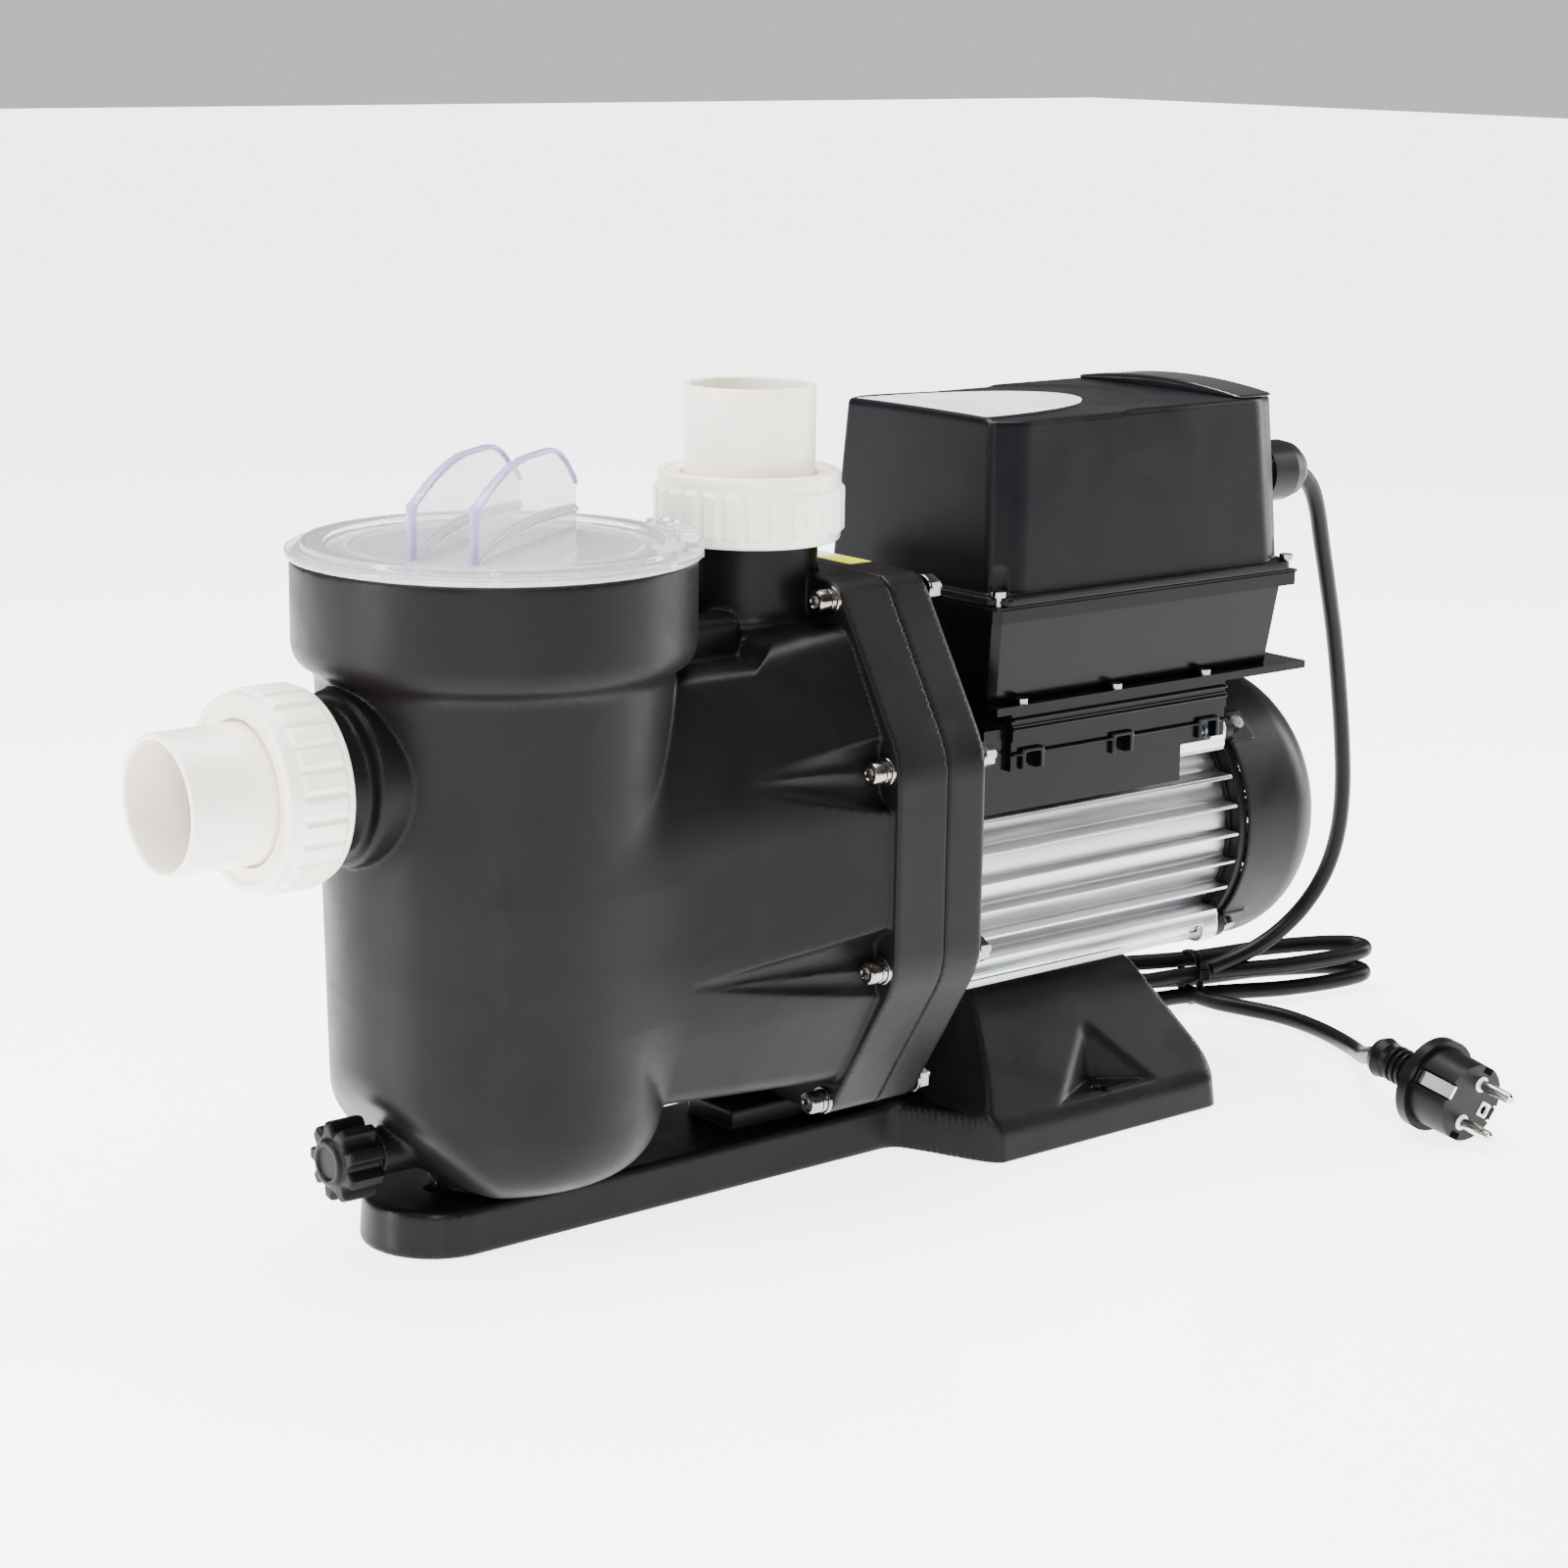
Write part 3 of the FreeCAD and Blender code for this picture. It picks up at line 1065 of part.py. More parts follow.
def plug():
    body = new_body("PlugTurned")
    turned(body, [("0", "-36"), ("4", "-36"), ("8", "-35"), ("9.5", "-32"), ("8.5", "-28"), ("6.8",
                                                                                             "-26"),
                  ("7.4", "-14"), ("12", "-9"), ("15.5", "-3"), ("21.5", "-3"), ("21.5", "2.5"),
                  ("18.6", "2.5"), ("18", "22.5"), ("0", "22.5")])
    grooves = [box(("14.5", "-3", "6"), "10", "6", "20"), box(("-24.5", "-3", "6"), "10", "6", "20")]
    clip_beds = [box(("-4", "15.6", "3.5"), "8", "10", "25"), box(("-4", "-25.6", "3.5"), "8", "10",
                                                                  "25")]
    earth_hole = cylinder(("0", "-10", "8"), "2.4", "20")
    pin_beds = [cylinder(("%s9.5" % side, "0", "14"), "2.4", "20") for side in "-+"]
    collar_beds = [cylinder(("%s9.5" % side, "0", "21.5"), "3.6", "5") for side in "-+"]
    body_solid = cut(body, *grooves, *clip_beds, earth_hole, *pin_beds, *collar_beds)
    pins, collars, clips = [], [], []
    for side in "-+":
        pins.append(fuse(cylinder(("%s9.5" % side, "0", "14"), "2.4", "26"),
                         cone(("%s9.5" % side, "0", "40"), "2.4", "1.4", "1.5")))
        collars.append(cut(cylinder(("%s9.5" % side, "0", "21.5"), "3.6", "1.6"),
                           cylinder(("%s9.5" % side, "0", "20"), "2.4", "5")))
        clips.append(box(("-3", "15.7" if side == "+" else "-17", "4"), "6", "1.3", "19.5"))
    for label, solid in (("plug_body", body_solid), ("plug_pins", group(*pins)),
                         ("plug_collars", group(*collars)), ("plug_earth_clips", group(*clips))):
        solid.Placement = plug_frame()
        sub_part(label, solid)


# ---------------------------------------------------------------- build, check and write

def build_all():
    for make in (pump_housing, seal_plate, casing_o_ring, joint_fasteners, diffuser, casing_label,
                 lid, lid_o_ring, strainer_basket, unions, drain_plug, base, base_screws,
                 motor_housing, tie_rods, fan_cover, fan_cover_screws, motor_inside, rotor,
                 terminal_bracket, skirt_plate, lower_box, box_gasket, box_cover, box_trim,
                 box_screws, box_inside, cable_gland, cords, cord_hank, cable_tie, plug):
        make()
    end_shield("motor_front_shield", "{joint_back}+3", "3", "+2")
    end_shield("motor_rear_shield", "{drum_back}", "5", "-5")
    doc.recompute()


def check_all():
    for item in doc.Objects:
        if "Invalid" in item.State or "Error" in item.State:
            raise RuntimeError("%s failed: %s" % (item.Label, item.State))
    for item in SUB_PARTS:
        if item.Shape.isNull() or not item.Shape.isValid():
            raise RuntimeError("%s has no valid shape" % item.Label)


def write_all():
    os.makedirs("parts", exist_ok=True)
    for item in SUB_PARTS:
        item.Shape.exportStep("parts/%s.step" % item.Label)
        corner = item.Shape.optimalBoundingBox()
        print("%-20s %2d solids %9.0f mm3  x %.1f..%.1f y %.1f..%.1f z %.1f..%.1f" % (
            item.Label, len(item.Shape.Solids), item.Shape.Volume, corner.XMin, corner.XMax,
            corner.YMin, corner.YMax, corner.ZMin, corner.ZMax))


build_all()
check_all()
write_all()
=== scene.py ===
"""Looks of the pool pump: moulded plastic, clear lid, finned motor, control box, cord and plug."""

import math

import bmesh
import bpy
import numpy as np
from mathutils import Matrix, Vector


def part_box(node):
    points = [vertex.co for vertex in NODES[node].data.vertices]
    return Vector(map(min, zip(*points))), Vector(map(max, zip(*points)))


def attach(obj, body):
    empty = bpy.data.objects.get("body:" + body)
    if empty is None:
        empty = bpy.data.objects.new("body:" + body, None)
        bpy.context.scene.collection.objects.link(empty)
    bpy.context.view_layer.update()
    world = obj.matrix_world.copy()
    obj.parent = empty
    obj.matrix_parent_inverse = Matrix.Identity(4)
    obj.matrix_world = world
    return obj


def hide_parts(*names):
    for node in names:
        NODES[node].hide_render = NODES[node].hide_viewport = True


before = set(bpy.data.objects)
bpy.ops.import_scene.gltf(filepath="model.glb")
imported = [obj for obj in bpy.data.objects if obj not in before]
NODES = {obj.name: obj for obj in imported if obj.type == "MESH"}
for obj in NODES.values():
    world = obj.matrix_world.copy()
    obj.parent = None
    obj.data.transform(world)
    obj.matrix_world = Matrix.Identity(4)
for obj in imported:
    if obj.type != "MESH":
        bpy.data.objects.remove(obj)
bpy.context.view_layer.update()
MM = 0.001


def box_mm(node):
    """A node's lowest and highest corners in millimetres."""
    low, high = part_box(node)
    return np.array(low) * 1000, np.array(high) * 1000


# ---------------------------------------------------------------- named places, in millimetres

SHAFT_Z = 123.0
JOINT_Z = 144.0
JOINT_FRONT, JOINT_MIDDLE, JOINT_BACK = 136.5, 163.5, 185.0
JOINT_WIDTH, JOINT_SIDE, JOINT_TOP, JOINT_RISE = 89.3, 46.0, 46.8, 115.0
BOLTS = [(y, JOINT_Z + z) for y, z in ((45, 107.6), (-45, 107.6), (81.5, 42), (-81.5, 42),
                                       (45, -107.6), (-45, -107.6), (81.5, -42), (-81.5, -42))]
INLET_Z, OUTLET_X = 196.0, 128.0
COLLAR_FLOOR, COLLAR_TOP, COLLAR_R = 233.5, 277.0, 80.5
DRAIN_Z = 41.0
LID_TURN = math.radians(32)

# ---------------------------------------------------------------- materials


class Shader:
    """A Principled material with short helpers for noise, bump and colour variation."""

    def __init__(self, name, colour, rough, **sockets):
        self.material = bpy.data.materials.new(name)
        self.material.use_nodes = True
        self.tree = self.material.node_tree
        self.surface = self.tree.nodes["Principled BSDF"]
        self.surface.inputs["Base Color"].default_value = (*colour, 1)
        self.surface.inputs["Roughness"].default_value = rough
        for socket, value in sockets.items():
            self.surface.inputs[socket.replace("_", " ")].default_value = value
        self.place = self.node("ShaderNodeTexCoord").outputs["Object"]
        self.height = None

    def node(self, kind, **values):
        made = self.tree.nodes.new(kind)
        for name, value in values.items():
            setattr(made, name, value)
        return made

    def link(self, source, target):
        self.tree.links.new(source, target)

    def noise(self, scale, detail=3.0, rough=0.55, stretch=(1, 1, 1), distortion=0.0):
        grid = self.node("ShaderNodeMapping")
        grid.inputs["Scale"].default_value = stretch
        self.link(self.place, grid.inputs["Vector"])
        made = self.node("ShaderNodeTexNoise")
        made.inputs["Scale"].default_value = scale
        made.inputs["Detail"].default_value = detail
        made.inputs["Roughness"].default_value = rough
        made.inputs["Distortion"].default_value = distortion
        self.link(grid.outputs["Vector"], made.inputs["Vector"])
        return made.outputs["Fac"]

    def span(self, source, low, high, out_low, out_high):
        made = self.node("ShaderNodeMapRange")
        for name, value in (("From Min", low), ("From Max", high), ("To Min", out_low),
                            ("To Max", out_high)):
            made.inputs[name].default_value = value
        self.link(source, made.inputs["Value"])
        return made.outputs["Result"]

    def roughness(self, source, low, high, out_low, out_high):
        self.link(self.span(source, low, high, out_low, out_high), self.surface.inputs["Roughness"])
        return self

    def colour(self, source, first, second, low=0.35, high=0.65):
        blend = self.node("ShaderNodeMix", data_type="RGBA")
        self.link(self.span(source, low, high, 0, 1), blend.inputs["Factor"])
        blend.inputs["A"].default_value = (*first, 1)
        blend.inputs["B"].default_value = (*second, 1)
        self.link(blend.outputs["Result"], self.surface.inputs["Base Color"])
        return self

    def bump(self, source, strength, distance):
        made = self.node("ShaderNodeBump")
        made.inputs["Strength"].default_value = strength
        made.inputs["Distance"].default_value = distance
        self.link(source, made.inputs["Height"])
        if self.height is not None:
            self.link(self.height, made.inputs["Normal"])
        self.height = made.outputs["Normal"]
        self.link(self.height, self.surface.inputs["Normal"])
        return self


def moulded_plastic(name, dark, light, rough, grain, grain_height, swell=0.00001, **sockets):
    """Grained moulding: fine grain, slow mottling and rubbed patches."""
    made = Shader(name, dark, rough, **sockets)
    made.colour(made.noise(14, 4, 0.6, distortion=0.4), dark, light)
    made.roughness(made.noise(22, 5, 0.65, distortion=0.8), 0.3, 0.7, rough - 0.07, rough + 0.09)
    made.bump(made.noise(grain, 2, 0.5), 0.5, grain_height)
    made.bump(made.noise(60, 2, 0.5), 0.2, swell)
    return made.material


def brushed_metal(name, dark, light, rough, stretch, scale=180):
    made = Shader(name, dark, rough, Metallic=1.0)
    made.colour(made.noise(scale, 4, 0.6, stretch), dark, light)
    made.roughness(made.noise(scale, 3, 0.6, stretch), 0.3, 0.7, rough - 0.06, rough + 0.08)
    made.bump(made.noise(scale * 3, 2, 0.5, stretch), 0.3, 0.00004)
    return made.material


def make_materials():
    black = {"Specular_IOR_Level": 0.1}
    plastics = {
        "pump_black": ((0.0036, 0.0028, 0.0030), (0.0054, 0.0043, 0.0046), 0.40, 900, 0.00005, black),
        "foot_black": ((0.0046, 0.0037, 0.0039), (0.007, 0.0057, 0.006), 0.34, 700, 0.00004, black),
        "box_black": ((0.0020, 0.0024, 0.0031), (0.0028, 0.0033, 0.0042), 0.34, 1300, 0.00003, black),
        "tray_black": ((0.0016, 0.0016, 0.002), (0.0022, 0.0022, 0.0027), 0.18, 1300, 0.00001, black),
        "cover_black": ((0.004, 0.0038, 0.004), (0.0058, 0.0056, 0.0058), 0.38, 1400, 0.00004, black),
        "pvc": ((0.87, 0.80, 0.69), (0.90, 0.84, 0.745), 0.28, 300, 0.00002,
                {"Subsurface_Weight": 0.08, "Subsurface_Radius": (0.004, 0.003, 0.002)}),
        "rubber": ((0.003, 0.003, 0.003), (0.005, 0.005, 0.005), 0.5, 800, 0.00004, black),
        "cord_black": ((0.003, 0.003, 0.0032), (0.0045, 0.0043, 0.0045), 0.36, 500, 0.00003, black),
        "inner_black": ((0.02, 0.02, 0.022), (0.03, 0.03, 0.033), 0.42, 600, 0.00005, {}),
        "basket": ((0.84, 0.86, 0.90), (0.90, 0.91, 0.94), 0.35, 500, 0.00003,
                   {"Subsurface_Weight": 0.2, "Subsurface_Radius": (0.006, 0.006, 0.007)}),
        "white_collar": ((0.78, 0.77, 0.73), (0.83, 0.82, 0.79), 0.4, 600, 0.00002, {}),
        "board": ((0.02, 0.12, 0.04), (0.03, 0.18, 0.06), 0.35, 700, 0.00004, {}),
        "ceramic": ((0.62, 0.58, 0.5), (0.72, 0.69, 0.62), 0.3, 500, 0.00002, {}),
        "label_white": ((0.78, 0.80, 0.83), (0.83, 0.85, 0.87), 0.16, 300, 0.00001, {}),
        "cap_gloss": ((0.005, 0.0055, 0.007), (0.007, 0.0075, 0.009), 0.10, 300, 0.00001, {}),
    }
    metals = {
        "stainless": ((0.19, 0.18, 0.165), (0.34, 0.32, 0.30), 0.2, (1, 1, 1)),
        "zinc": ((0.42, 0.50, 0.56), (0.62, 0.68, 0.72), 0.22, (0.1, 1, 1)),
        "raw_aluminium": ((0.46, 0.465, 0.475), (0.58, 0.585, 0.59), 0.34, (0.05, 1, 1), 260),
        "nickel": ((0.55, 0.52, 0.47), (0.75, 0.72, 0.66), 0.18, (1, 1, 1)),
        "copper": ((0.5, 0.2, 0.08), (0.66, 0.32, 0.14), 0.3, (0.1, 1, 1), 400),
        "laminations": ((0.12, 0.12, 0.13), (0.24, 0.24, 0.25), 0.42, (14, 1, 1)),
    }
    made = {name: moulded_plastic(name, *row[:-1], **row[-1]) for name, row in plastics.items()}
    made.update((name, brushed_metal(name, *row)) for name, row in metals.items())
    made["sticker"] = two_tone_sticker()
    # painted reflection: the lid lets through only 0.76, and its near-white diffuse share paints in the white
    # surroundings that a clear lid would only reflect
    made["lid_clear"] = clear_plastic("lid_clear", (0.97, 0.97, 1.0), 0.76, (0.75, 0.74, 0.99), 5.0)
    made["lid_edge"] = clear_plastic("lid_edge", (0.60, 0.56, 0.93), 0.6, (0.56, 0.53, 0.97), 10.0)
    return made


def two_tone_sticker():
    """A blank sticker, yellow towards -Y and white towards +Y."""
    made = Shader("sticker", (0.8, 0.8, 0.1), 0.3)
    parts = made.node("ShaderNodeSeparateXYZ")
    made.link(made.place, parts.inputs["Vector"])
    made.colour(parts.outputs["Y"], (0.62, 0.63, 0.03), (0.80, 0.82, 0.84), 0.006, 0.0063)
    made.bump(made.noise(300, 3, 0.5), 0.2, 0.00003)
    return made.material


def clear_plastic(name, base, clear, depth_colour, density):
    """Clear polycarbonate that takes colour from its thickness; the share it does not let through is diffuse
    base colour, and on the near-white lid that share is a painted reflection of the white surroundings.
    """
    made = Shader(name, base, 0.04, IOR=1.42, Transmission_Weight=clear)
    made.roughness(made.noise(30, 4, 0.6), 0.3, 0.7, 0.015, 0.06)
    made.bump(made.noise(26, 2, 0.5), 0.18, 0.0002)
    depth = made.node("ShaderNodeVolumeAbsorption")
    depth.inputs["Color"].default_value = (*depth_colour, 1)
    depth.inputs["Density"].default_value = density
    made.link(depth.outputs["Volume"], made.tree.nodes["Material Output"].inputs["Volume"])
    return made.material


MATERIALS = make_materials()


def dress(piece, material):
    piece.data.materials.clear()
    piece.data.materials.append(MATERIALS[material])
    return piece


# ---------------------------------------------------------------- solid fields and their meshes
# A field is a distance in millimetres over a grid, below zero inside the piece.


def blend_min(first, second, soft):
    """Union with a fillet; soft is the fillet's width."""
    overlap = np.maximum(soft - np.abs(first - second), 0) / soft
    return np.minimum(first, second) - overlap * overlap * soft * 0.25


def blend_max(first, second, soft):
    """Intersection with a rounded edge."""
    return -blend_min(-first, -second, soft)


def carve(solid, tool, soft=0.6):
    return blend_max(solid, -tool, soft)


class Space:
    """A grid of points over a box, in millimetres."""

    def __init__(self, low, high, cell):
        self.low = np.array(low, dtype=np.float32)
        self.cell = cell
        counts = [int(math.ceil((b - a) / cell)) + 1 for a, b in zip(low, high)]
        axes = [np.arange(n, dtype=np.float32) * cell + a for n, a in zip(counts, low)]
        self.x = axes[0][:, None, None]
        self.y = axes[1][None, :, None]
        self.z = axes[2][None, None, :]
        self.shape = tuple(counts)

    def full(self, field):
        return np.broadcast_to(field, self.shape).astype(np.float32)

    def disc(self, axis, centre, radius):
        """An endless round bar along an axis through a centre given in the other two."""
        first, second = {"x": (self.y, self.z), "y": (self.x, self.z), "z": (self.x, self.y)}[axis]
        return np.hypot(first - centre[0], second - centre[1]) - radius

    def bar(self, axis, centre, radius, start, end, soft=1.0):
        along = {"x": self.x, "y": self.y, "z": self.z}[axis]
        return blend_max(self.disc(axis, centre, radius), np.maximum(start - along, along - end), soft)

    def block(self, low, high, soft=1.0):
        out = np.maximum(low[0] - self.x, self.x - high[0])
        out = blend_max(out, np.maximum(low[1] - self.y, self.y - high[1]), soft)
        return blend_max(out, np.maximum(low[2] - self.z, self.z - high[2]), soft)

    def rod(self, start, end, first_radius, last_radius):
        """A round cone with ball ends between two points."""
        start, end = np.array(start, float), np.array(end, float)
        way = end - start
        length = float(way @ way)
        dx, dy, dz = self.x - start[0], self.y - start[1], self.z - start[2]
        share = np.clip((dx * way[0] + dy * way[1] + dz * way[2]) / length, 0, 1)
        gap = np.sqrt((dx - share * way[0]) ** 2 + (dy - share * way[1]) ** 2 + (dz - share * way[2]) ** 2)
        return gap - (first_radius + share * (last_radius - first_radius))

    def lathe(self, points, axis="z", centre=(0, 0)):
        """A turned solid: a closed outline of (radius, place along the axis)."""
        radius = self.disc(axis, centre, 0)
        along = {"x": self.x, "y": self.y, "z": self.z}[axis]
        radius, along = np.broadcast_arrays(radius, along)
        return polygon_distance(radius, along, points)


def polygon_distance(px, py, points):
    """Signed distance to a closed outline."""
    nearest = np.full(px.shape, 1e9, dtype=np.float32)
    inside = np.zeros(px.shape, dtype=bool)
    for (ax, ay), (bx, by) in zip(points, points[1:] + points[:1]):
        ex, ey = bx - ax, by - ay
        wx, wy = px - ax, py - ay
        share = np.clip((wx * ex + wy * ey) / max(ex * ex + ey * ey, 1e-9), 0, 1)
        nearest = np.minimum(nearest, (wx - share * ex) ** 2 + (wy - share * ey) ** 2)
        crosses = (ay > py) != (by > py)
        if ey != 0:
            inside ^= crosses & (px < ex * (py - ay) / ey + ax)
    return np.where(inside, -np.sqrt(nearest), np.sqrt(nearest)).astype(np.float32)


def mesh_from_field(name, space, field, material):
    """Surface nets: one vertex in each cell that the surface crosses, one face at each crossed edge."""
    field = np.ascontiguousarray(space.full(field))
    inside = field < 0
    corners = [(i, j, k) for i in (0, 1) for j in (0, 1) for k in (0, 1)]
    nx, ny, nz = field.shape

    def part(array, i, j, k):
        return array[i:nx - 1 + i, j:ny - 1 + j, k:nz - 1 + k]

    count = sum(part(inside, *c).astype(np.int8) for c in corners)
    cells = np.argwhere((count > 0) & (count < 8))
    number = np.full((nx - 1, ny - 1, nz - 1), -1, dtype=np.int64)
    number[tuple(cells.T)] = np.arange(len(cells))
    values = {c: field[cells[:, 0] + c[0], cells[:, 1] + c[1], cells[:, 2] + c[2]] for c in corners}
    total = np.zeros((len(cells), 3))
    hits = np.zeros(len(cells))
    normal = np.zeros((len(cells), 3))
    for a in corners:
        for axis in range(3):
            if a[axis]:
                continue
            b = tuple(v + (1 if n == axis else 0) for n, v in enumerate(a))
            va, vb = values[a], values[b]
            normal[:, axis] += vb - va
            crossed = (va < 0) != (vb < 0)
            share = np.where(crossed, va / np.where(crossed, va - vb, 1), 0)
            point = np.array(a, float)[None, :].repeat(len(cells), 0)
            point[:, axis] += share
            total += point * crossed[:, None]
            hits += crossed
    points = (cells + total / hits[:, None]) * space.cell + space.low
    faces = []
    for axis in range(3):
        others = [n for n in range(3) if n != axis]
        size = [nx, ny, nz]
        first = [slice(1, size[n] - 1) for n in range(3)]
        second = list(first)
        first[axis] = slice(0, size[axis] - 1)
        second[axis] = slice(1, size[axis])
        here, there = inside[tuple(first)], inside[tuple(second)]
        spots = np.argwhere(here != there)
        base = spots + np.array([0 if n == axis else 1 for n in range(3)])
        outward = here[tuple(spots.T)]
        ring = []
        for du, dv in ((-1, -1), (0, -1), (0, 0), (-1, 0)):
            cell = base.copy()
            cell[:, others[0]] += du
            cell[:, others[1]] += dv
            ring.append(number[tuple(cell.T)])
        quads = np.stack(ring, 1)
        if axis == 1:
            outward = ~outward
        quads[~outward] = quads[~outward][:, ::-1]
        faces.append(quads)
    faces = np.concatenate(faces)
    faces = faces[(faces >= 0).all(1)]
    mesh = bpy.data.meshes.new(name)
    mesh.vertices.add(len(points))
    mesh.vertices.foreach_set("co", (points * MM).astype(np.float32).ravel())
    mesh.loops.add(faces.size)
    mesh.loops.foreach_set("vertex_index", faces.astype(np.int32).ravel())
    mesh.polygons.add(len(faces))
    mesh.polygons.foreach_set("loop_start", np.arange(0, faces.size, 4, dtype=np.int32))
    mesh.update(calc_edges=True)
    mesh.polygons.foreach_set("use_smooth", np.ones(len(faces), dtype=bool))
    normal /= np.maximum(np.linalg.norm(normal, axis=1, keepdims=True), 1e-9)
    mesh.normals_split_custom_set_from_vertices(normal.tolist())
    piece = bpy.data.objects.new(name, mesh)
    bpy.context.collection.objects.link(piece)
    return dress(piece, material)


def finish_piece(piece, body, slot, *nodes):
    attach(piece, body)
    if nodes:
        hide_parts(*nodes)
    return piece


# ---------------------------------------------------------------- wet end


def octagon_field(space, half_width, side, top_width, rise, centre, soft):
    """A tall octagon across Y and Z, endless along X; the sizes may vary with X."""
    y, z = np.abs(space.y), np.abs(space.z - centre)
    run, climb = half_width - top_width, rise - side
    length = np.hypot(run, climb)
    slant = ((y - half_width) * climb + (z - side) * run) / length
    flat = blend_max(y - half_width, z - rise, soft)
    return blend_max(flat, slant, soft)


def pot_outside(space):
    """The pot: slightly tapered, a round lower edge, the collar and its rounded step."""
    r = space.disc("z", (0, 0), 0)
    wall = r - (67 + 4.5 * np.clip((space.z - 25) / 208.5, 0, 1))
    pot = blend_max(wall, 25 - space.z, 30)
    pot = blend_max(pot, space.z - COLLAR_TOP, 1.0)
    collar = blend_max(r - COLLAR_R, COLLAR_FLOOR - space.z, 11)
    collar = blend_max(collar, space.z - COLLAR_TOP, 1.5)
    pot = blend_min(pot, collar, 5)
    slope = (-(space.x + 62) * 82 - (space.z - 61) * 66) / math.hypot(82, 66)
    return blend_max(pot, slope, 6)


def casing_outside(space):
    """The flared body between the pot and the joint, with its plateau and the step down to the pot."""
    share = np.clip((space.x - 15) / 121.5, -0.4, 1)
    body = octagon_field(space, 62 + 24 * share, 39 + 3 * share, 42 + 12 * share,
                         86 + 12.5 * share, 136 + 8 * share, 9)
    body = np.maximum(body, np.maximum(-30 - space.x, space.x - JOINT_FRONT - 1))
    step = 103 - 20 * np.clip((np.abs(space.y) - 40) / 18, 0, 1) ** 2
    lower = 229 + 13.5 * np.clip((space.x - step + 4) / 8, 0, 1) ** 1.5
    body = blend_max(body, space.z - lower, 4)
    return body


def scoops(space, solid):
    """Fan-shaped double recesses that run back from the side bolts, and pockets at the other bolts."""
    for y, z in BOLTS:
        side = 1 if y > 0 else -1
        if abs(y) > 60:
            tip = (50, side * 69.5, z + (3 if z > JOINT_Z else 4))
            upper = space.rod((JOINT_FRONT + 4, side * 89, z + 6.5), tip, 13, 1.6)
            lower = space.rod((JOINT_FRONT + 4, side * 88, z - 5.5), tip, 11, 1.4)
            solid = carve(solid, np.minimum(upper, lower), 1.6)
        else:
            pocket = space.bar("x", (y + side * 1.5, z), 8.5, JOINT_FRONT - 45, JOINT_FRONT + 0.2, 3)
            solid = carve(solid, pocket, 3)
    return solid


def bolt_holes(space, solid):
    for y, z in BOLTS:
        hole = np.maximum(space.disc("x", (y, z), 3.3), 110 - space.x)
        solid = np.maximum(solid, -hole)
    return solid


def pump_housing():
    low, high = box_mm("pump_housing")
    space = Space(low - 3, high + 3, 1.25)
    pot = pot_outside(space)
    casing = scoops(space, casing_outside(space))
    crisp = np.clip(np.maximum((space.z - 150) / 45, (92 - space.z) / 40), 0, 1)
    soft = 14 * (1 - crisp) + 1.4 * crisp
    body = blend_min(pot, casing, soft)
    neck = space.bar("z", (OUTLET_X, 0), 29, 205, 274, 0.5)
    body = blend_min(body, neck, 7)
    web = space.block((70, -28, 205), (104, -9, 246), 5)
    web_far = space.block((70, 9, 205), (104, 28, 246), 5)
    body = blend_min(body, np.minimum(web, web_far), 4)
    inlet = space.bar("x", (0, INLET_Z), 29, -90, -50, 0.5)
    flare = space.bar("x", (0, INLET_Z), 35.2, -76, -40, 3.5)
    body = blend_min(blend_min(body, flare, 0.8), inlet, 3)
    boss = space.bar("x", (0, DRAIN_Z), 9.5, low[0] + 46, -30, 1)
    body = blend_min(body, boss, 4)
    ports = np.minimum(space.bar("z", (OUTLET_X, 0), 33, 272.4, high[2], 0.8),
                       space.bar("x", (0, INLET_Z), 33, low[0], -88.6, 0.8))
    body = np.minimum(body, ports)
    flange = octagon_field(space, JOINT_WIDTH, JOINT_SIDE, JOINT_TOP, JOINT_RISE, JOINT_Z, 6)
    flange = blend_max(flange, JOINT_FRONT - space.x, 1.6)
    flange = blend_max(flange, space.x - JOINT_MIDDLE, 0.5)
    body = blend_min(body, flange, 1.2)
    hollow = space.lathe([(0, 33), (32, 33), (60, 72), (64, 252), (73, 252), (73, 280), (0, 280)])
    volute = space.bar("x", (0, SHAFT_Z), 68, 100, 170, 1)
    passages = [space.bar("z", (OUTLET_X, 0), 23, SHAFT_Z, 300, 0.5),
                space.bar("x", (0, INLET_Z), 23, -120, -55, 0.5),
                space.bar("x", (0, SHAFT_Z), 24, 50, 130, 0.5),
                space.bar("x", (0, DRAIN_Z), 6, -70, -34, 0.5)]
    for tool in [hollow, volute] + passages:
        body = carve(body, tool, 0.8)
    body = bolt_holes(space, body)
    piece = mesh_from_field("housing_moulding", space, body, "pump_black")
    finish_piece(piece, "root", "pump_black", "pump_housing")


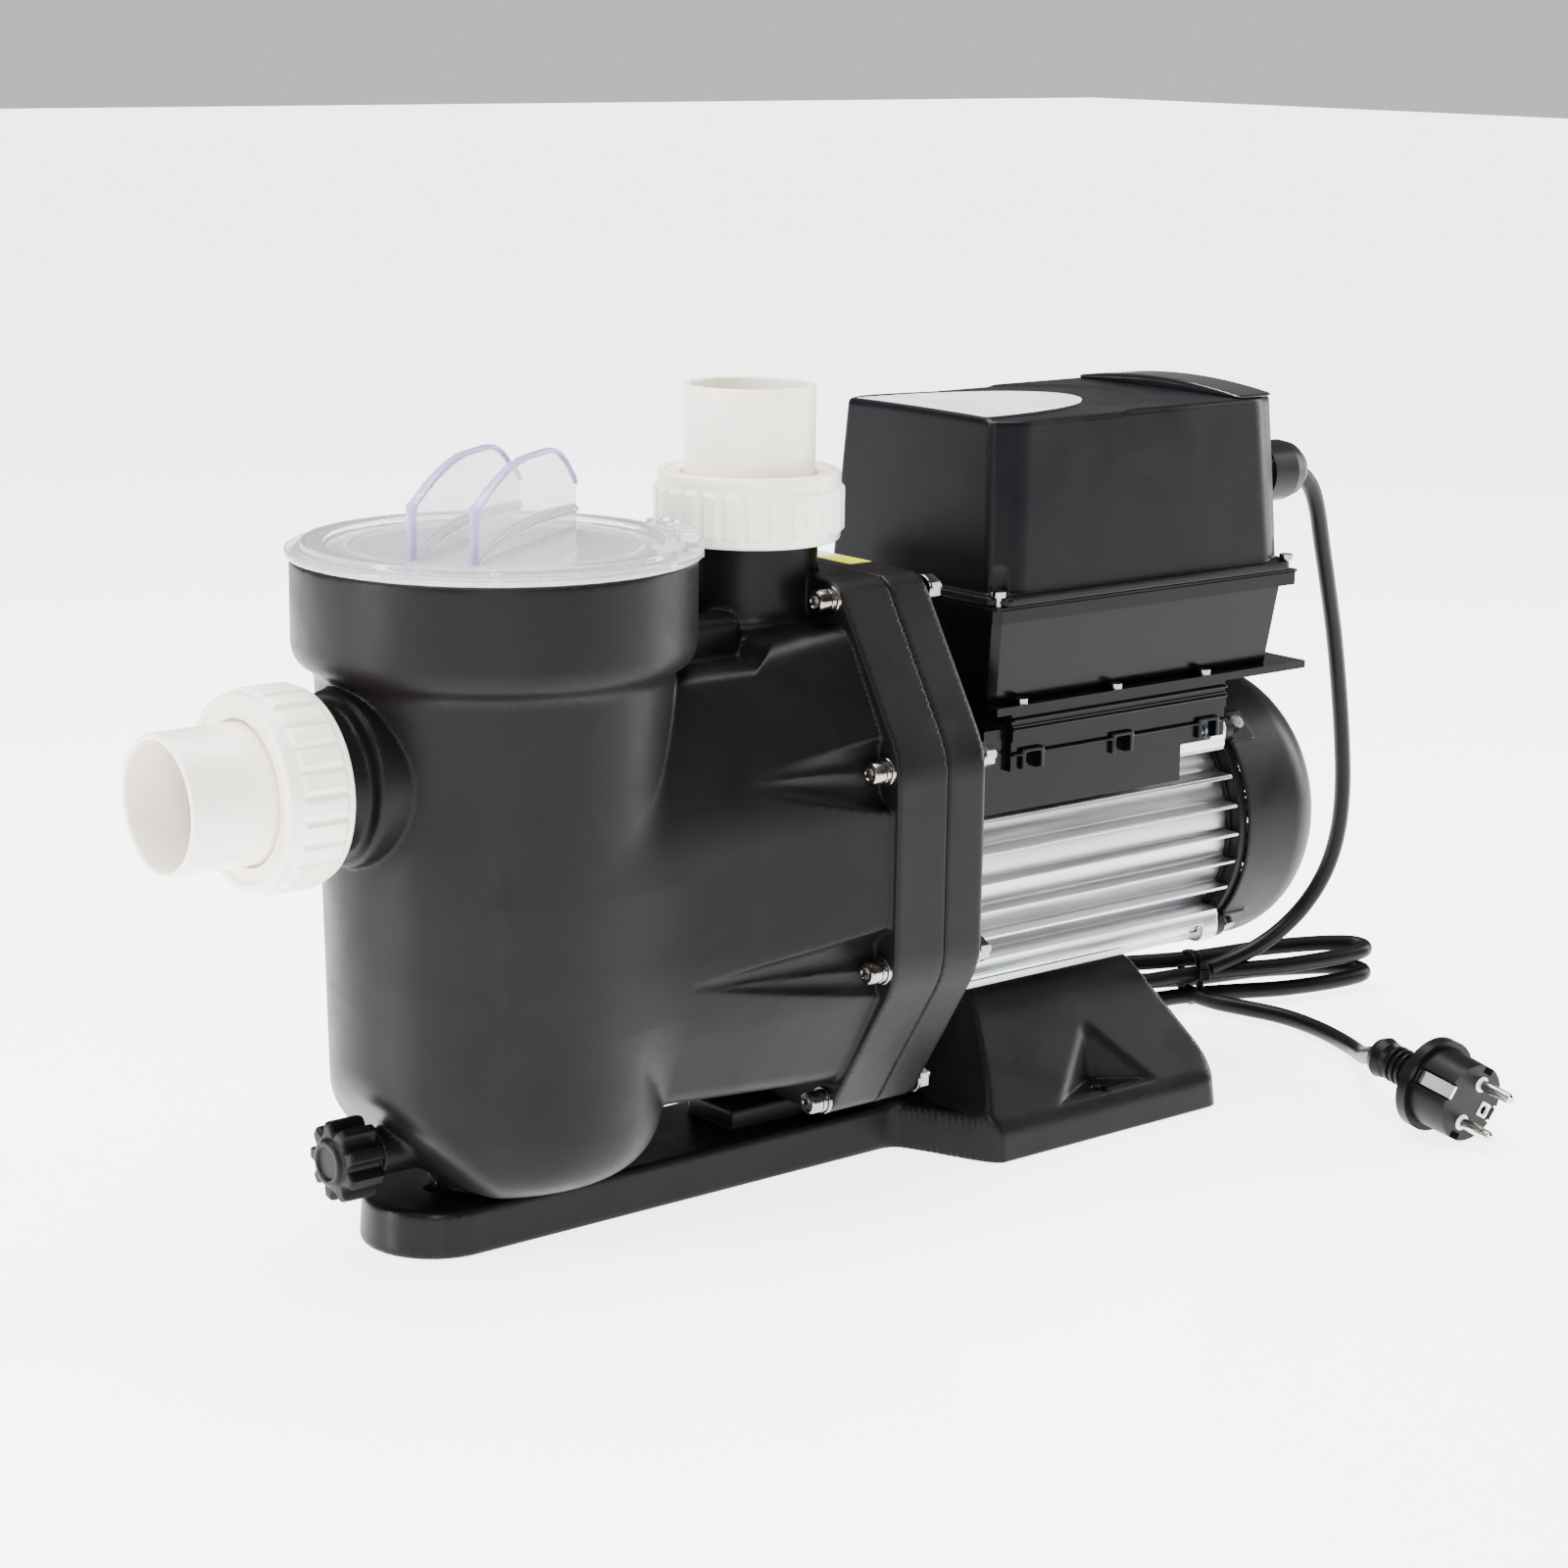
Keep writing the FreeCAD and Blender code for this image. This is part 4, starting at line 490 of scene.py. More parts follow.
def seal_plate():
    low, high = box_mm("seal_plate")
    space = Space(low - 3, high + 3, 1.25)
    plate = octagon_field(space, JOINT_WIDTH, JOINT_SIDE, JOINT_TOP, JOINT_RISE, JOINT_Z, 6)
    plate = blend_max(plate, JOINT_MIDDLE + 0.1 - space.x, 0.5)
    plate = blend_max(plate, space.x - JOINT_BACK, 3.0)
    spigot = space.bar("x", (0, SHAFT_Z), 67.6, JOINT_MIDDLE - 6, JOINT_MIDDLE + 4, 1)
    hub = space.bar("x", (0, SHAFT_Z), 57, JOINT_BACK - 3, JOINT_BACK + 3, 1)
    solid = blend_min(np.minimum(plate, spigot), hub, 2)
    recess = space.bar("x", (0, SHAFT_Z), 48, JOINT_BACK - 12, JOINT_BACK + 20, 1)
    recess = np.maximum(recess, 24 - space.disc("x", (0, SHAFT_Z), 0))
    solid = carve(solid, recess, 1)
    solid = np.maximum(solid, -space.disc("x", (0, SHAFT_Z), 9.5))
    solid = np.maximum(solid, -space.bar("x", (0, SHAFT_Z), 15, JOINT_MIDDLE - 8, JOINT_MIDDLE + 9))
    piece = mesh_from_field("seal_plate_moulding", space, bolt_holes(space, solid), "pump_black")
    finish_piece(piece, "root", "pump_black", "seal_plate")


def base():
    low, high = box_mm("base")
    space = Space(low - 3, high + 3, 1.25)
    strip = np.hypot(np.maximum(-30.5 - space.x, 0), space.y) - 31
    strip = np.maximum(strip, space.x - 260)
    taper = 0.06 * space.z
    strip = blend_max(strip + taper, np.maximum(-space.z, space.z - 20), 3)
    reach = 31 + 45 * np.clip((space.x - 186) / 28, 0,
                              1) ** 2 * (3 - 2 * np.clip((space.x - 186) / 28, 0, 1))
    foot = blend_max(np.abs(space.y) - reach + taper,
                     np.maximum(187 - space.x, space.x - high[0] + 2 * taper), 8)
    side = space.z - (18 + 50 * (73 - np.abs(space.y)) / 40)
    back = space.z - (20 + 48 * (high[0] - 1 - space.x) / 22)
    front = space.z - (20 + 48 * np.clip((space.x - 205) / 24, 0, 1) ** 1.5)
    slopes = blend_max(blend_max(side * 0.62, back * 0.42, 2), front * 0.5, 3)
    foot = blend_max(foot, slopes, 3)
    foot = blend_max(foot, space.z - 68, 3)
    foot = np.maximum(foot, -space.z)
    solid = blend_min(strip, foot, 4)
    rest = space.block((110, -16, 15), (185, 16, 28.8), 2)
    puck = space.bar("z", (0, 0), 28, 10, 24.8, 1)
    solid = np.minimum(np.minimum(solid, rest), puck)
    solid = np.maximum(solid, -space.z)
    solid = carve(solid, space.bar("x", (0, SHAFT_Z), 64.5, 186, 400, 1), 1)
    for side in (-1, 1):
        left = ((space.x - 243) * 20 + (side * space.y - 76) * 40) / math.hypot(20, 40)
        right = ((315 - space.x) * 21 + (side * space.y - 77) * 32) / math.hypot(21, 32)
        draft = 0.16 * (space.z - 20)
        pocket = blend_max(-left - draft, -right - draft, 4)
        pocket = np.maximum(pocket, 20 - space.z)
        solid = carve(solid, pocket, 2.2)
        solid = np.maximum(solid, -space.disc("z", (278, side * 67), 3.4))
    solid = np.maximum(solid, -space.disc("z", (-30.5, 0), 4.5))
    under = space.block((221, -66, -5), (339, 66, 11), 3)
    solid = carve(solid, under, 1)
    piece = mesh_from_field("base_moulding", space, solid, "foot_black")
    finish_piece(piece, "root", "pump_black", "base")


def drain_plug():
    """A castellated knob with a raised disc on its face."""
    low, high = box_mm("drain_plug")
    space = Space(low - 1, high + 1, 0.5)
    at = (0, DRAIN_Z)
    angle = np.arctan2(space.z - DRAIN_Z, space.y)
    rib = np.cos(angle * 9)
    edge = 14.6 + 1.9 * np.clip(rib * 1.6 + 0.2, -1, 1)
    r = space.disc("x", at, 0)
    knob = blend_max((r - edge) * 0.8, np.maximum(low[0] + 2 - space.x, space.x + 63.5), 2.2)
    disc = space.bar("x", at, 9.5, low[0], -70, 1.2)
    dish = space.bar("x", at, 6.5, low[0] - 5, low[0] + 1.2, 1)
    shank = space.bar("x", at, 5.4, -66, high[0], 1)
    solid = np.minimum(blend_min(knob, disc, 1.2), shank)
    solid = carve(solid, dish, 0.8)
    piece = mesh_from_field("drain_knob", space, solid, "pump_black")
    finish_piece(piece, "drain_plug", "pump_black", "drain_plug")


# ---------------------------------------------------------------- unions


def union_nut(node, axis, centre, away, body):
    """A nut with flat upright ribs, a plain bevelled ring at its outer end and a stepped mouth."""
    low, high = box_mm(node)
    space = Space(low - 1.2, high + 1.2, 0.7)
    along = {"x": space.x, "z": space.z}[axis]
    start, end = (low[0], high[0]) if axis == "x" else (low[2], high[2])
    across = (space.y, space.z - centre[1]) if axis == "x" else (space.x - centre[0], space.y)
    angle = np.arctan2(across[1], across[0])
    r = np.hypot(across[0], across[1])
    if away < 0:
        depth = along - start
    else:
        depth = end - along
    length = end - start
    rib = np.clip(np.cos(angle * 26) * 2.6 + 1.6, -1, 1)
    ends = np.clip(np.minimum(depth - 6, length - 3.5 - depth) / 1.5, 0, 1)
    edge = 38.4 + 0.8 * (rib * ends) + 0.8 * ends
    outside = blend_max((r - edge) * 0.85, np.maximum(start - along, along - end), 2.2)
    mouth = 28.7 + 0 * depth
    bore = np.where(depth < 5.2, mouth, 33.4)
    solid = np.maximum(outside, bore - r)
    rebate = np.maximum(r - 34.5, depth - 1.4)
    solid = carve(solid, rebate, 0.5)
    piece = mesh_from_field(node + "_ribbed", space, solid, "pvc")
    finish_piece(piece, body, "pvc_cream", node)


def union_tail(node, axis, centre, away, body):
    """The pipe socket: a plain round-edged pipe with the collar that the nut holds."""
    low, high = box_mm(node)
    space = Space(low - 1, high + 1, 0.7)
    start, end = (low[0], high[0]) if axis == "x" else (low[2], high[2])
    pipe = space.bar(axis, centre, 27.5, start, end, 1.6)
    if away < 0:
        collar = space.bar(axis, centre, 32.6, end - 6, end, 0.6)
    else:
        collar = space.bar(axis, centre, 32.6, start, start + 6, 0.6)
    solid = np.minimum(pipe, collar)
    bore = space.disc(axis, centre, 25)
    inner = space.disc(axis, centre, 23)
    depth = {"x": space.x, "z": space.z}[axis]
    stop = (depth > end - 2) if away < 0 else (depth < start + 2)
    solid = blend_max(solid, -np.where(stop, inner, bore), 1.2)
    piece = mesh_from_field(node + "_pipe", space, solid, "pvc")
    finish_piece(piece, body, "pvc_cream", node)


# ---------------------------------------------------------------- lid


def lid():
    low, high = box_mm("lid")
    space = Space((-84, -84, low[2] - 1), (84, 84, high[2] + 1), 0.85)
    r = space.disc("z", (0, 0), 0)
    z = space.z
    plate = blend_max(r - 82.4, np.maximum(277.4 - z, z - 280.6), 0.8)
    ring = np.maximum(np.abs(r - 71.5) - 4.5, np.maximum(277.4 - z, z - 283.4))
    step = np.maximum(np.abs(r - 57) - 1.2, np.maximum(279 - z, z - 281.6))
    skirt = np.maximum(np.abs(r - 69.8) - 2.6, np.maximum(256.2 - z, z - 279))
    solid = blend_min(blend_min(plate, ring, 1.2), np.minimum(step, skirt), 1.0)
    along = space.x * math.cos(LID_TURN) + space.y * math.sin(LID_TURN)
    beside = -space.x * math.sin(LID_TURN) + space.y * math.cos(LID_TURN)
    edges = space.full(9.0)
    for offset in (-13, 13):
        arch = 317 - 14.5 * np.clip((5 - along) / 53, 0, 1) ** 1.9 - 20 * np.clip((along - 22) / 32,
                                                                                  0, 1) ** 2
        web = blend_max(np.abs(beside - offset) - 1.1, z - arch, 0.6)
        web = np.maximum(web, np.maximum(-along - 50, along - 51))
        web = np.maximum(web, 279 - z)
        lower = 290.2 - 8.2 * np.clip((15 - along) / 63, 0, 1) ** 2 - 1.2 * np.clip((along - 15) / 36,
                                                                                    0, 1) ** 2
        lip = np.maximum(np.abs(beside - offset) - 2.4, np.abs(z - lower) - 0.9)
        lip = np.maximum(lip, np.maximum(-along - 49, along - 51))
        rim = np.maximum(np.abs(beside - offset) - 1.9, np.abs(z - arch + 1.1) - 1.1)
        rim = np.maximum(rim, np.maximum(-along - 50, along - 51))
        post = np.maximum(np.hypot((along + 48.6) * 0.8, beside - offset) - 1.9,
                          np.maximum(279 - z, z - arch))
        for added in (web, lip):
            solid = blend_min(solid, added, 0.9)
        edges = np.minimum(edges, blend_min(rim, post, 0.9))
    angle = np.arctan2(space.y, space.x)
    lug = np.maximum(np.abs(r - 77.5) - 4.2, np.maximum(278 - z, z - 284.6))
    lug = np.maximum(lug, r * (np.abs(angle + math.radians(22)) - math.radians(21)))
    teeth = lug + 1.0 * np.clip(np.cos(angle * 60) * 1.5, -1, 1)
    solid = blend_min(solid, teeth, 0.8)
    piece = mesh_from_field("lid_moulding", space, solid, "lid_clear")
    finish_piece(piece, "lid", "lid_clear", "lid")
    finish_piece(mesh_from_field("lid_fin_edges", space, edges, "lid_edge"), "lid", "lid_clear")


# ---------------------------------------------------------------- motor


def motor_housing():
    """The drum with its long fins, cut square at the rear, and the open grooves of the tie rods."""
    low, high = box_mm("motor_housing")
    space = Space((low[0] - 1, -66, low[2] - 2), (high[0] + 3, 66, high[2] + 2), 0.8)
    r = space.disc("x", (0, SHAFT_Z), 0)
    z = space.z - SHAFT_Z
    drum = r - 55.5
    ends = np.maximum(low[0] - space.x, space.x - high[0])
    body = np.maximum(drum, ends)
    rear = space.x - high[0] + 0.4
    for step in range(-3, 4):
        blade = np.abs(z - 13 * step) - (0.75 + 0.05 * np.clip(64 - np.abs(space.y), 0, 20))
        blade = np.maximum(blade, r - 63.8)
        blade = np.maximum(blade, np.maximum(low[0] - space.x, rear))
        body = blend_min(body, blade, 1.0)
    for step in range(-2, 3):
        blade = np.maximum(np.abs(space.y - 12.7 * step) - 1.1, np.maximum(z, r - 63.8))
        blade = np.maximum(blade, np.maximum(low[0] - space.x, rear))
        body = blend_min(body, blade, 1.6)
    for y in (-46, 46):
        for rise in (-46, 46):
            lobe = space.bar("x", (y, SHAFT_Z + rise), 7.2, low[0], high[0], 0.6)
            body = blend_min(body, lobe, 5)
            groove = space.disc("x", (y * 1.08, SHAFT_Z + rise * 1.08), 6.4)
            groove = np.maximum(groove, space.x - high[0] + 10)
            body = carve(body, groove, 0.8)
            body = np.maximum(body, -space.disc("x", (y, SHAFT_Z + rise), 2.8))
    body = np.maximum(body, 49 - r)
    piece = mesh_from_field("motor_drum", space, body, "raw_aluminium")
    finish_piece(piece, "root", "raw_aluminium", "motor_housing")


def fan_cover():
    """A domed cowl with rounded shoulders, screw pads and a grille of slots at the back."""
    low, high = box_mm("fan_cover")
    space = Space(low - 1, high + 1, 0.9)
    depth = space.x - low[0]
    length = high[0] - low[0]
    r = space.disc("x", (0, SHAFT_Z), 0)

    def dome(radius, end, corner):
        straight = end - corner
        past = np.clip(depth - straight, 0, None)
        inner = radius - corner
        rounded = np.hypot(np.maximum(r - inner, 0), past) - corner
        return np.where((past > 0) & (r > inner), rounded, np.maximum(r - radius, depth - end))

    outside = np.maximum(dome(65.3, length, 27), -depth)
    inside = dome(63.1, length - 2.2, 25)
    pads = outside * 0 + 1e3
    for y in (-1, 1):
        for z in (-1, 1):
            across = (space.y * y + (space.z - SHAFT_Z) * z) / math.sqrt(2)
            beside = (space.y * y - (space.z - SHAFT_Z) * z) / math.sqrt(2)
            pad = np.maximum(np.abs(across - 63.8) - 2.4, np.abs(beside) - 7.5)
            pads = np.minimum(pads, np.maximum(pad, np.abs(depth - 7) - 7))
    solid = blend_min(carve(outside, inside, 0.6), pads, 1.2)
    for step in range(-3, 4):
        reach = math.sqrt(44 ** 2 - (12 * step) ** 2)
        slot = np.maximum(np.abs(space.z - SHAFT_Z - 12 * step) - 2, np.abs(space.y) - reach)
        slot = np.maximum(slot, high[0] - 9 - space.x)
        solid = carve(solid, slot, 0.6)
    piece = mesh_from_field("fan_cowl", space, solid, "cover_black")
    finish_piece(piece, "root", "pump_black", "fan_cover")


# ---------------------------------------------------------------- fasteners


def revolved(name, profile, places, material, sides=48):
    """Turned or hexagonal pieces along X at several places; a row is (radius, place, hexagonal or not)."""
    shape = bmesh.new()
    for at in places:
        rings = []
        for radius, along, hexagonal in profile:
            ring = []
            for step in range(sides):
                turn = 2 * math.pi * step / sides
                reach = radius
                if hexagonal:
                    reach = radius / math.cos((turn + math.pi / 6) % (math.pi / 3) - math.pi / 6)
                spot = (at[0] + along, at[1] + reach * math.cos(turn), at[2] + reach * math.sin(turn))
                ring.append(shape.verts.new([value * MM for value in spot]))
            rings.append(ring)
        for first, second in zip(rings, rings[1:]):
            for step in range(sides):
                after = (step + 1) % sides
                shape.faces.new((first[step], first[after], second[after], second[step]))
    bmesh.ops.recalc_face_normals(shape, faces=shape.faces)
    mesh = bpy.data.meshes.new(name)
    shape.to_mesh(mesh)
    shape.free()
    piece = bpy.data.objects.new(name, mesh)
    bpy.context.collection.objects.link(piece)
    mesh.shade_smooth()
    mesh.set_sharp_from_angle(angle=math.radians(30))
    return dress(piece, material)


def fasteners():
    """Socket screws with a spring washer and a flat washer in front, a washer and a nut behind."""
    front = [(JOINT_FRONT, y, z) for y, z in BOLTS]
    back = [(JOINT_BACK, y, z) for y, z in BOLTS]
    head = [(0.02, -6.2, True), (2.45, -6.2, True), (2.45, -9.2, True), (2.7, -9.5, False),
            (3.9, -9.5, False),
            (4.6, -9.0, False), (4.8, -8.2, False), (4.8, -4.3, False), (4.5, -3.8, False), (2.9,
                                                                                             -3.7, False),
            (2.9, 57.5, False), (2.5, 58.2, False), (0.02, 58.2, False)]
    finish_piece(revolved("casing_screw_set", head, front, "stainless"), "root", "stainless",
                 "casing_bolts")
    spring = [(2.9, -3.6, False), (4.7, -3.6, False), (5.0, -3.4, False), (5.0, -2.0, False),
              (4.6, -1.8, False),
              (4.6, -1.55, False), (5.6, -1.5, False), (5.9, -1.2, False), (5.9, -0.2, False), (5.6,
                                                                                                0, False),
              (2.9, 0, False)]
    rear = [(2.9, 0, False), (5.7, 0, False), (5.9, 0.3, False), (5.9, 1.3, False), (5.7, 1.6, False),
            (2.9, 1.6, False)]
    washers = revolved("casing_washer_set", spring, front, "stainless")
    finish_piece(washers, "root", "stainless", "casing_washers")
    finish_piece(revolved("casing_rear_washer_set", rear, back, "stainless"), "root", "stainless")
    nut = [(3.1, 1.6, False), (4.6, 1.6, True), (5.0, 1.9, True), (5.0, 6.3, True), (4.6, 6.8, True),
           (4.2, 6.8, False), (3.1, 6.7, False)]
    finish_piece(revolved("casing_nut_set", nut, back, "stainless"), "root", "stainless", "casing_nuts")


# ---------------------------------------------------------------- control box cover

COVER_CROWN = 2500.0


def crown(space):
    """How far the cover's top falls away on both sides of its middle."""
    return space.y ** 2 / (2 * COVER_CROWN)


def label_plan(space, grow):
    low, high = box_mm("control_label")
    reach, half = high[0] - low[0] + grow, (high[1] - low[1]) / 2 + grow
    middle = (low[1] + high[1]) / 2
    oval = (np.hypot((space.x - low[0]) / reach, (space.y - middle) / half) - 1) * half
    return np.maximum(oval, low[0] - grow - space.x)


def drafted_shell(space, shrink, low, high):
    share = np.clip((space.z - 246) / 75, 0, 1)
    front, back, half = 217 + 3.5 * share, 394.8 - 3.5 * share, 58.6 - 5.2 * share
    y = np.abs(space.y)
    out = blend_max(front - space.x, space.x - back, 2)
    out = blend_max(out, y - half, 2.5)
    for edge, sign in ((front, 1), (back, -1)):
        run, rise = 11 + 2 * share, 6.5
        facet = ((y - half + rise) * run - sign * (space.x - edge) * rise) / math.hypot(11, 6.5)
        out = blend_max(out, facet, 2.5)
    out = out + shrink
    return blend_max(out, np.maximum(low - space.z, space.z + crown(space) - high),
                     2.6 if shrink == 0 else 1)


def box_cover():
    low, high = box_mm("box_cover")
    space = Space(low - 2, high + 2, 1.0)
    body = drafted_shell(space, 0, 243, 321)
    rim = space.block((low[0], low[1], low[2]), (high[0], high[1], 246.5), 1.0)
    chamfer = (np.abs(space.x - (low[0] + high[0]) / 2) - 93.2 + np.abs(space.y) - 62.6 + 7) / 1.42
    rim = blend_max(rim, chamfer, 1)
    solid = blend_min(body, rim, 0.8)
    hollow = drafted_shell(space, 3, 230, 317.5)
    corners = [(x, y) for x in (219.5, 392.3) for y in (-57, 57)]
    for corner in corners:
        hollow = np.maximum(hollow, 2.4 - space.disc("z", corner, 4.8))
    solid = carve(solid, hollow, 1)
    bed = np.maximum(label_plan(space, 0.5), 319.6 - space.z - crown(space))
    solid = carve(solid, bed, 0.8)
    ring = np.maximum(np.abs(label_plan(space, 15)) - 9, 320.4 - space.z - crown(space))
    solid = carve(solid, ring + 0.4, 3)
    for corner in corners:
        solid = carve(solid, space.bar("z", corner, 4.8, 246.2, 258, 2), 1)
        solid = np.maximum(solid, -space.bar("z", corner, 1.8, 230, 262))
    solid = np.maximum(solid, -space.bar("x", (-32, 283), 9, 380, 410))
    piece = mesh_from_field("box_cover_shell", space, solid, "box_black")
    finish_piece(piece, "root", "box_black", "box_cover")
    low, high = box_mm("control_label")
    room = Space((low[0] - 2, low[1] - 2, 317.5), (high[0] + 2, high[1] + 2, 322.5), 0.5)
    top = room.z + crown(room)
    plate = blend_max(label_plan(room, 0), np.maximum(319.4 - top, top - 320.7), 0.4)
    label = mesh_from_field("cover_label", room, plate, "label_white")
    finish_piece(label, "root", "label_white", "control_label")
    room = Space((362, -56, 318), (392, 56, 328), 0.7)
    cap = blend_max(np.maximum(365 - room.x, room.x - 388.2), np.abs(room.y) - 52.5, 4)
    cap = blend_max(cap, np.maximum(320.4 - room.z, room.z + room.y ** 2 / 660 - 325.9), 1.6)
    piece = mesh_from_field("cover_cap", room, cap, "cap_gloss")
    finish_piece(piece, "root", "box_black", "rear_cap")


def small_parts():
    """The ring that closes the fan cover's front, and the bracket's ledges."""
    room = Space((362, -64, SHAFT_Z - 64), (374, 64, SHAFT_Z + 64), 0.9)
    r = room.disc("x", (0, SHAFT_Z), 0)
    ring = np.maximum(np.maximum(r - 63.1, 54 - r), np.abs(room.x - 369.5) - 2.6)
    finish_piece(mesh_from_field("shield_ring", room, ring, "cover_black"), "root", "pump_black")
    low, high = box_mm("terminal_bracket")
    room = Space((low[0] - 1, low[1] - 2, low[2]), (high[0] + 1, low[1] + 4, high[2] + 1), 0.5)
    ledges = room.full(9.0)
    for z, out in ((192.5, 0.8), (188.4, 0.9), (177.5, 1.0)):
        ledge = room.block((low[0], low[1] - out, z - 0.8), (high[0], low[1] + 1.5, z + 0.8), 0.5)
        ledges = np.minimum(ledges, ledge)
    for start in (7, 61, 115):
        x = low[0] + start + 4.5
        frame_block = room.block((x - 6.5, low[1] - 1.2, 170.5), (x + 6.5, low[1] + 1.5, 180), 0.8)
        window = room.block((x - 4.4, low[1] - 9, 160), (x + 4.4, low[1] + 9, 178), 0.5)
        ledges = np.minimum(ledges, frame_block)
        ledges = np.maximum(ledges, -window)
    finish_piece(mesh_from_field("bracket_ledges", room, ledges, "tray_black"), "root", "box_black")


PLUG_CENTRE = Vector((399, -158, 21.7))
PLUG_WAY = Vector((-0.057, -0.990, -0.128)).normalized()
PIN_LINE = Vector((0.485, 0, 0.875))


def plug_details():
    """Rings round the plug's neck, and the white earth socket in its face."""
    low, high = PLUG_CENTRE - Vector((24, 44, 24)), PLUG_CENTRE + Vector((24, 40, 24))
    room = Space(low, high, 0.6)
    across = (PIN_LINE - PLUG_WAY * PIN_LINE.dot(PLUG_WAY)).normalized()
    third = PLUG_WAY.cross(across)
    place = (room.x - PLUG_CENTRE.x, room.y - PLUG_CENTRE.y, room.z - PLUG_CENTRE.z)
    w, u, v = (sum(p * a for p, a in zip(place, axis)) for axis in (PLUG_WAY, across, third))
    r = np.hypot(u, v)
    rings = room.full(9.0)
    for at in (-23.5, -20, -16.5, -13):
        ring = blend_max(np.abs(r - 6.6) - 2.0, np.abs(w - at) - 1.0, 0.6)
        rings = np.minimum(rings, ring)
    finish_piece(mesh_from_field("plug_neck_rings", room, rings, "cord_black"), "root", "cord_rubber")
    socket = blend_max(np.maximum(np.abs(u) - 3.4, np.abs(v + 10) - 3.4), np.abs(w - 22.2) - 1.0, 0.5)
    socket = np.maximum(socket, 2.3 - np.hypot(u, v + 10))
    finish_piece(mesh_from_field("plug_earth_socket", room, socket, "white_collar"), "root",
                 "cord_rubber")


# ---------------------------------------------------------------- cords

CORD_DROP = [(427.2, -32, 282), (438, -30.3, 276.5), (448.5, -26.8, 263.5), (458.5, -22, 244),
             (470, -17, 221.5), (482.5, -11.5, 196), (493.5, -6.5, 168), (503, -2, 140),
             (511.5, 3, 112.5), (516, 8.5, 87), (514.5, 14.5, 65), (506.5, 21.5, 46.5),
             (493, 29, 32), (475.5, 35.5, 23), (459.5, 39.5, 19.5)]
CORD_LEAD = [(451, 47, 7), (451.5, 32, 5.5), (457, 13, 5.5), (463, -9, 5.5), (462, -32, 5),
             (456, -54, 4.8),
             (445, -74, 6.5), (430, -90, 11.5), (415, -105, 19), (401, -122.4, 26)]
CORD_D = 8.0
HANK_WAIST = (455, 48)
HANK_TURN = math.radians(-17)


def cord_curve(name, route):
    """A round cord along a smooth open spline with the route as its control points."""
    data = bpy.data.curves.new(name, "CURVE")
    data.dimensions = "3D"
    spline = data.splines.new("NURBS")
    spline.points.add(len(route) - 1)
    for point, place in zip(spline.points, route):
        point.co = (*[value * MM for value in place], 1)
    spline.order_u = 3
    spline.use_endpoint_u = True
    spline.resolution_u = 8
    data.bevel_depth = CORD_D / 2 * MM
    data.bevel_resolution = 6
    data.use_fill_caps = True
    piece = bpy.data.objects.new(name, data)
    bpy.context.collection.objects.link(piece)
    return dress(piece, "cord_black")


def hank_route():
    """Two long flat loops, one on the other, pinched where the tie holds them."""
    points = []
    laps, steps = 1.94, 26
    for step in range(int(laps * steps) + 1):
        turn = 2 * math.pi * step / steps
        u = 13 - 88 * math.cos(turn)
        width = 5.0 + 6.5 * min(1, abs(u) / 45) ** 1.5
        w = -width * math.copysign(abs(math.sin(turn)) ** 0.6, math.sin(turn))
        level = min(max(5.9, 1.4 + 12.6 * turn / (2 * math.pi)), 21.6)
        points.append((u, w, level))
    cos, sin = math.cos(HANK_TURN), math.sin(HANK_TURN)
    return [(HANK_WAIST[0] + u * cos - w * sin, HANK_WAIST[1] + u * sin + w * cos, z) for u, w,
            z in points]


def measured(piece):
    """The spline's own length in metres."""
    plain = piece.data.copy()
    plain.bevel_depth = 0
    holder = bpy.data.objects.new("line", plain)
    bpy.context.collection.objects.link(holder)
    line = bpy.data.meshes.new_from_object(holder.evaluated_get(bpy.context.evaluated_depsgraph_get()))
    spots = [vertex.co.copy() for vertex in line.vertices]
    bpy.data.objects.remove(holder)
    bpy.data.meshes.remove(line)
    return sum((b - a).length for a, b in zip(spots, spots[1:]))


def cords():
    drop = cord_curve("cord_drop_line", CORD_DROP)
    finish_piece(drop, "root", "cord_rubber", "cord_drop")
    hank = cord_curve("cord_hank_line", hank_route())
    finish_piece(hank, "root", "cord_rubber", "cord_hank")
    lead = cord_curve("cord_lead_line", CORD_LEAD)
    finish_piece(lead, "root", "cord_rubber", "cord_lead")
    tie = cable_tie()
    measured(drop)
    measured(hank)
    measured(lead)


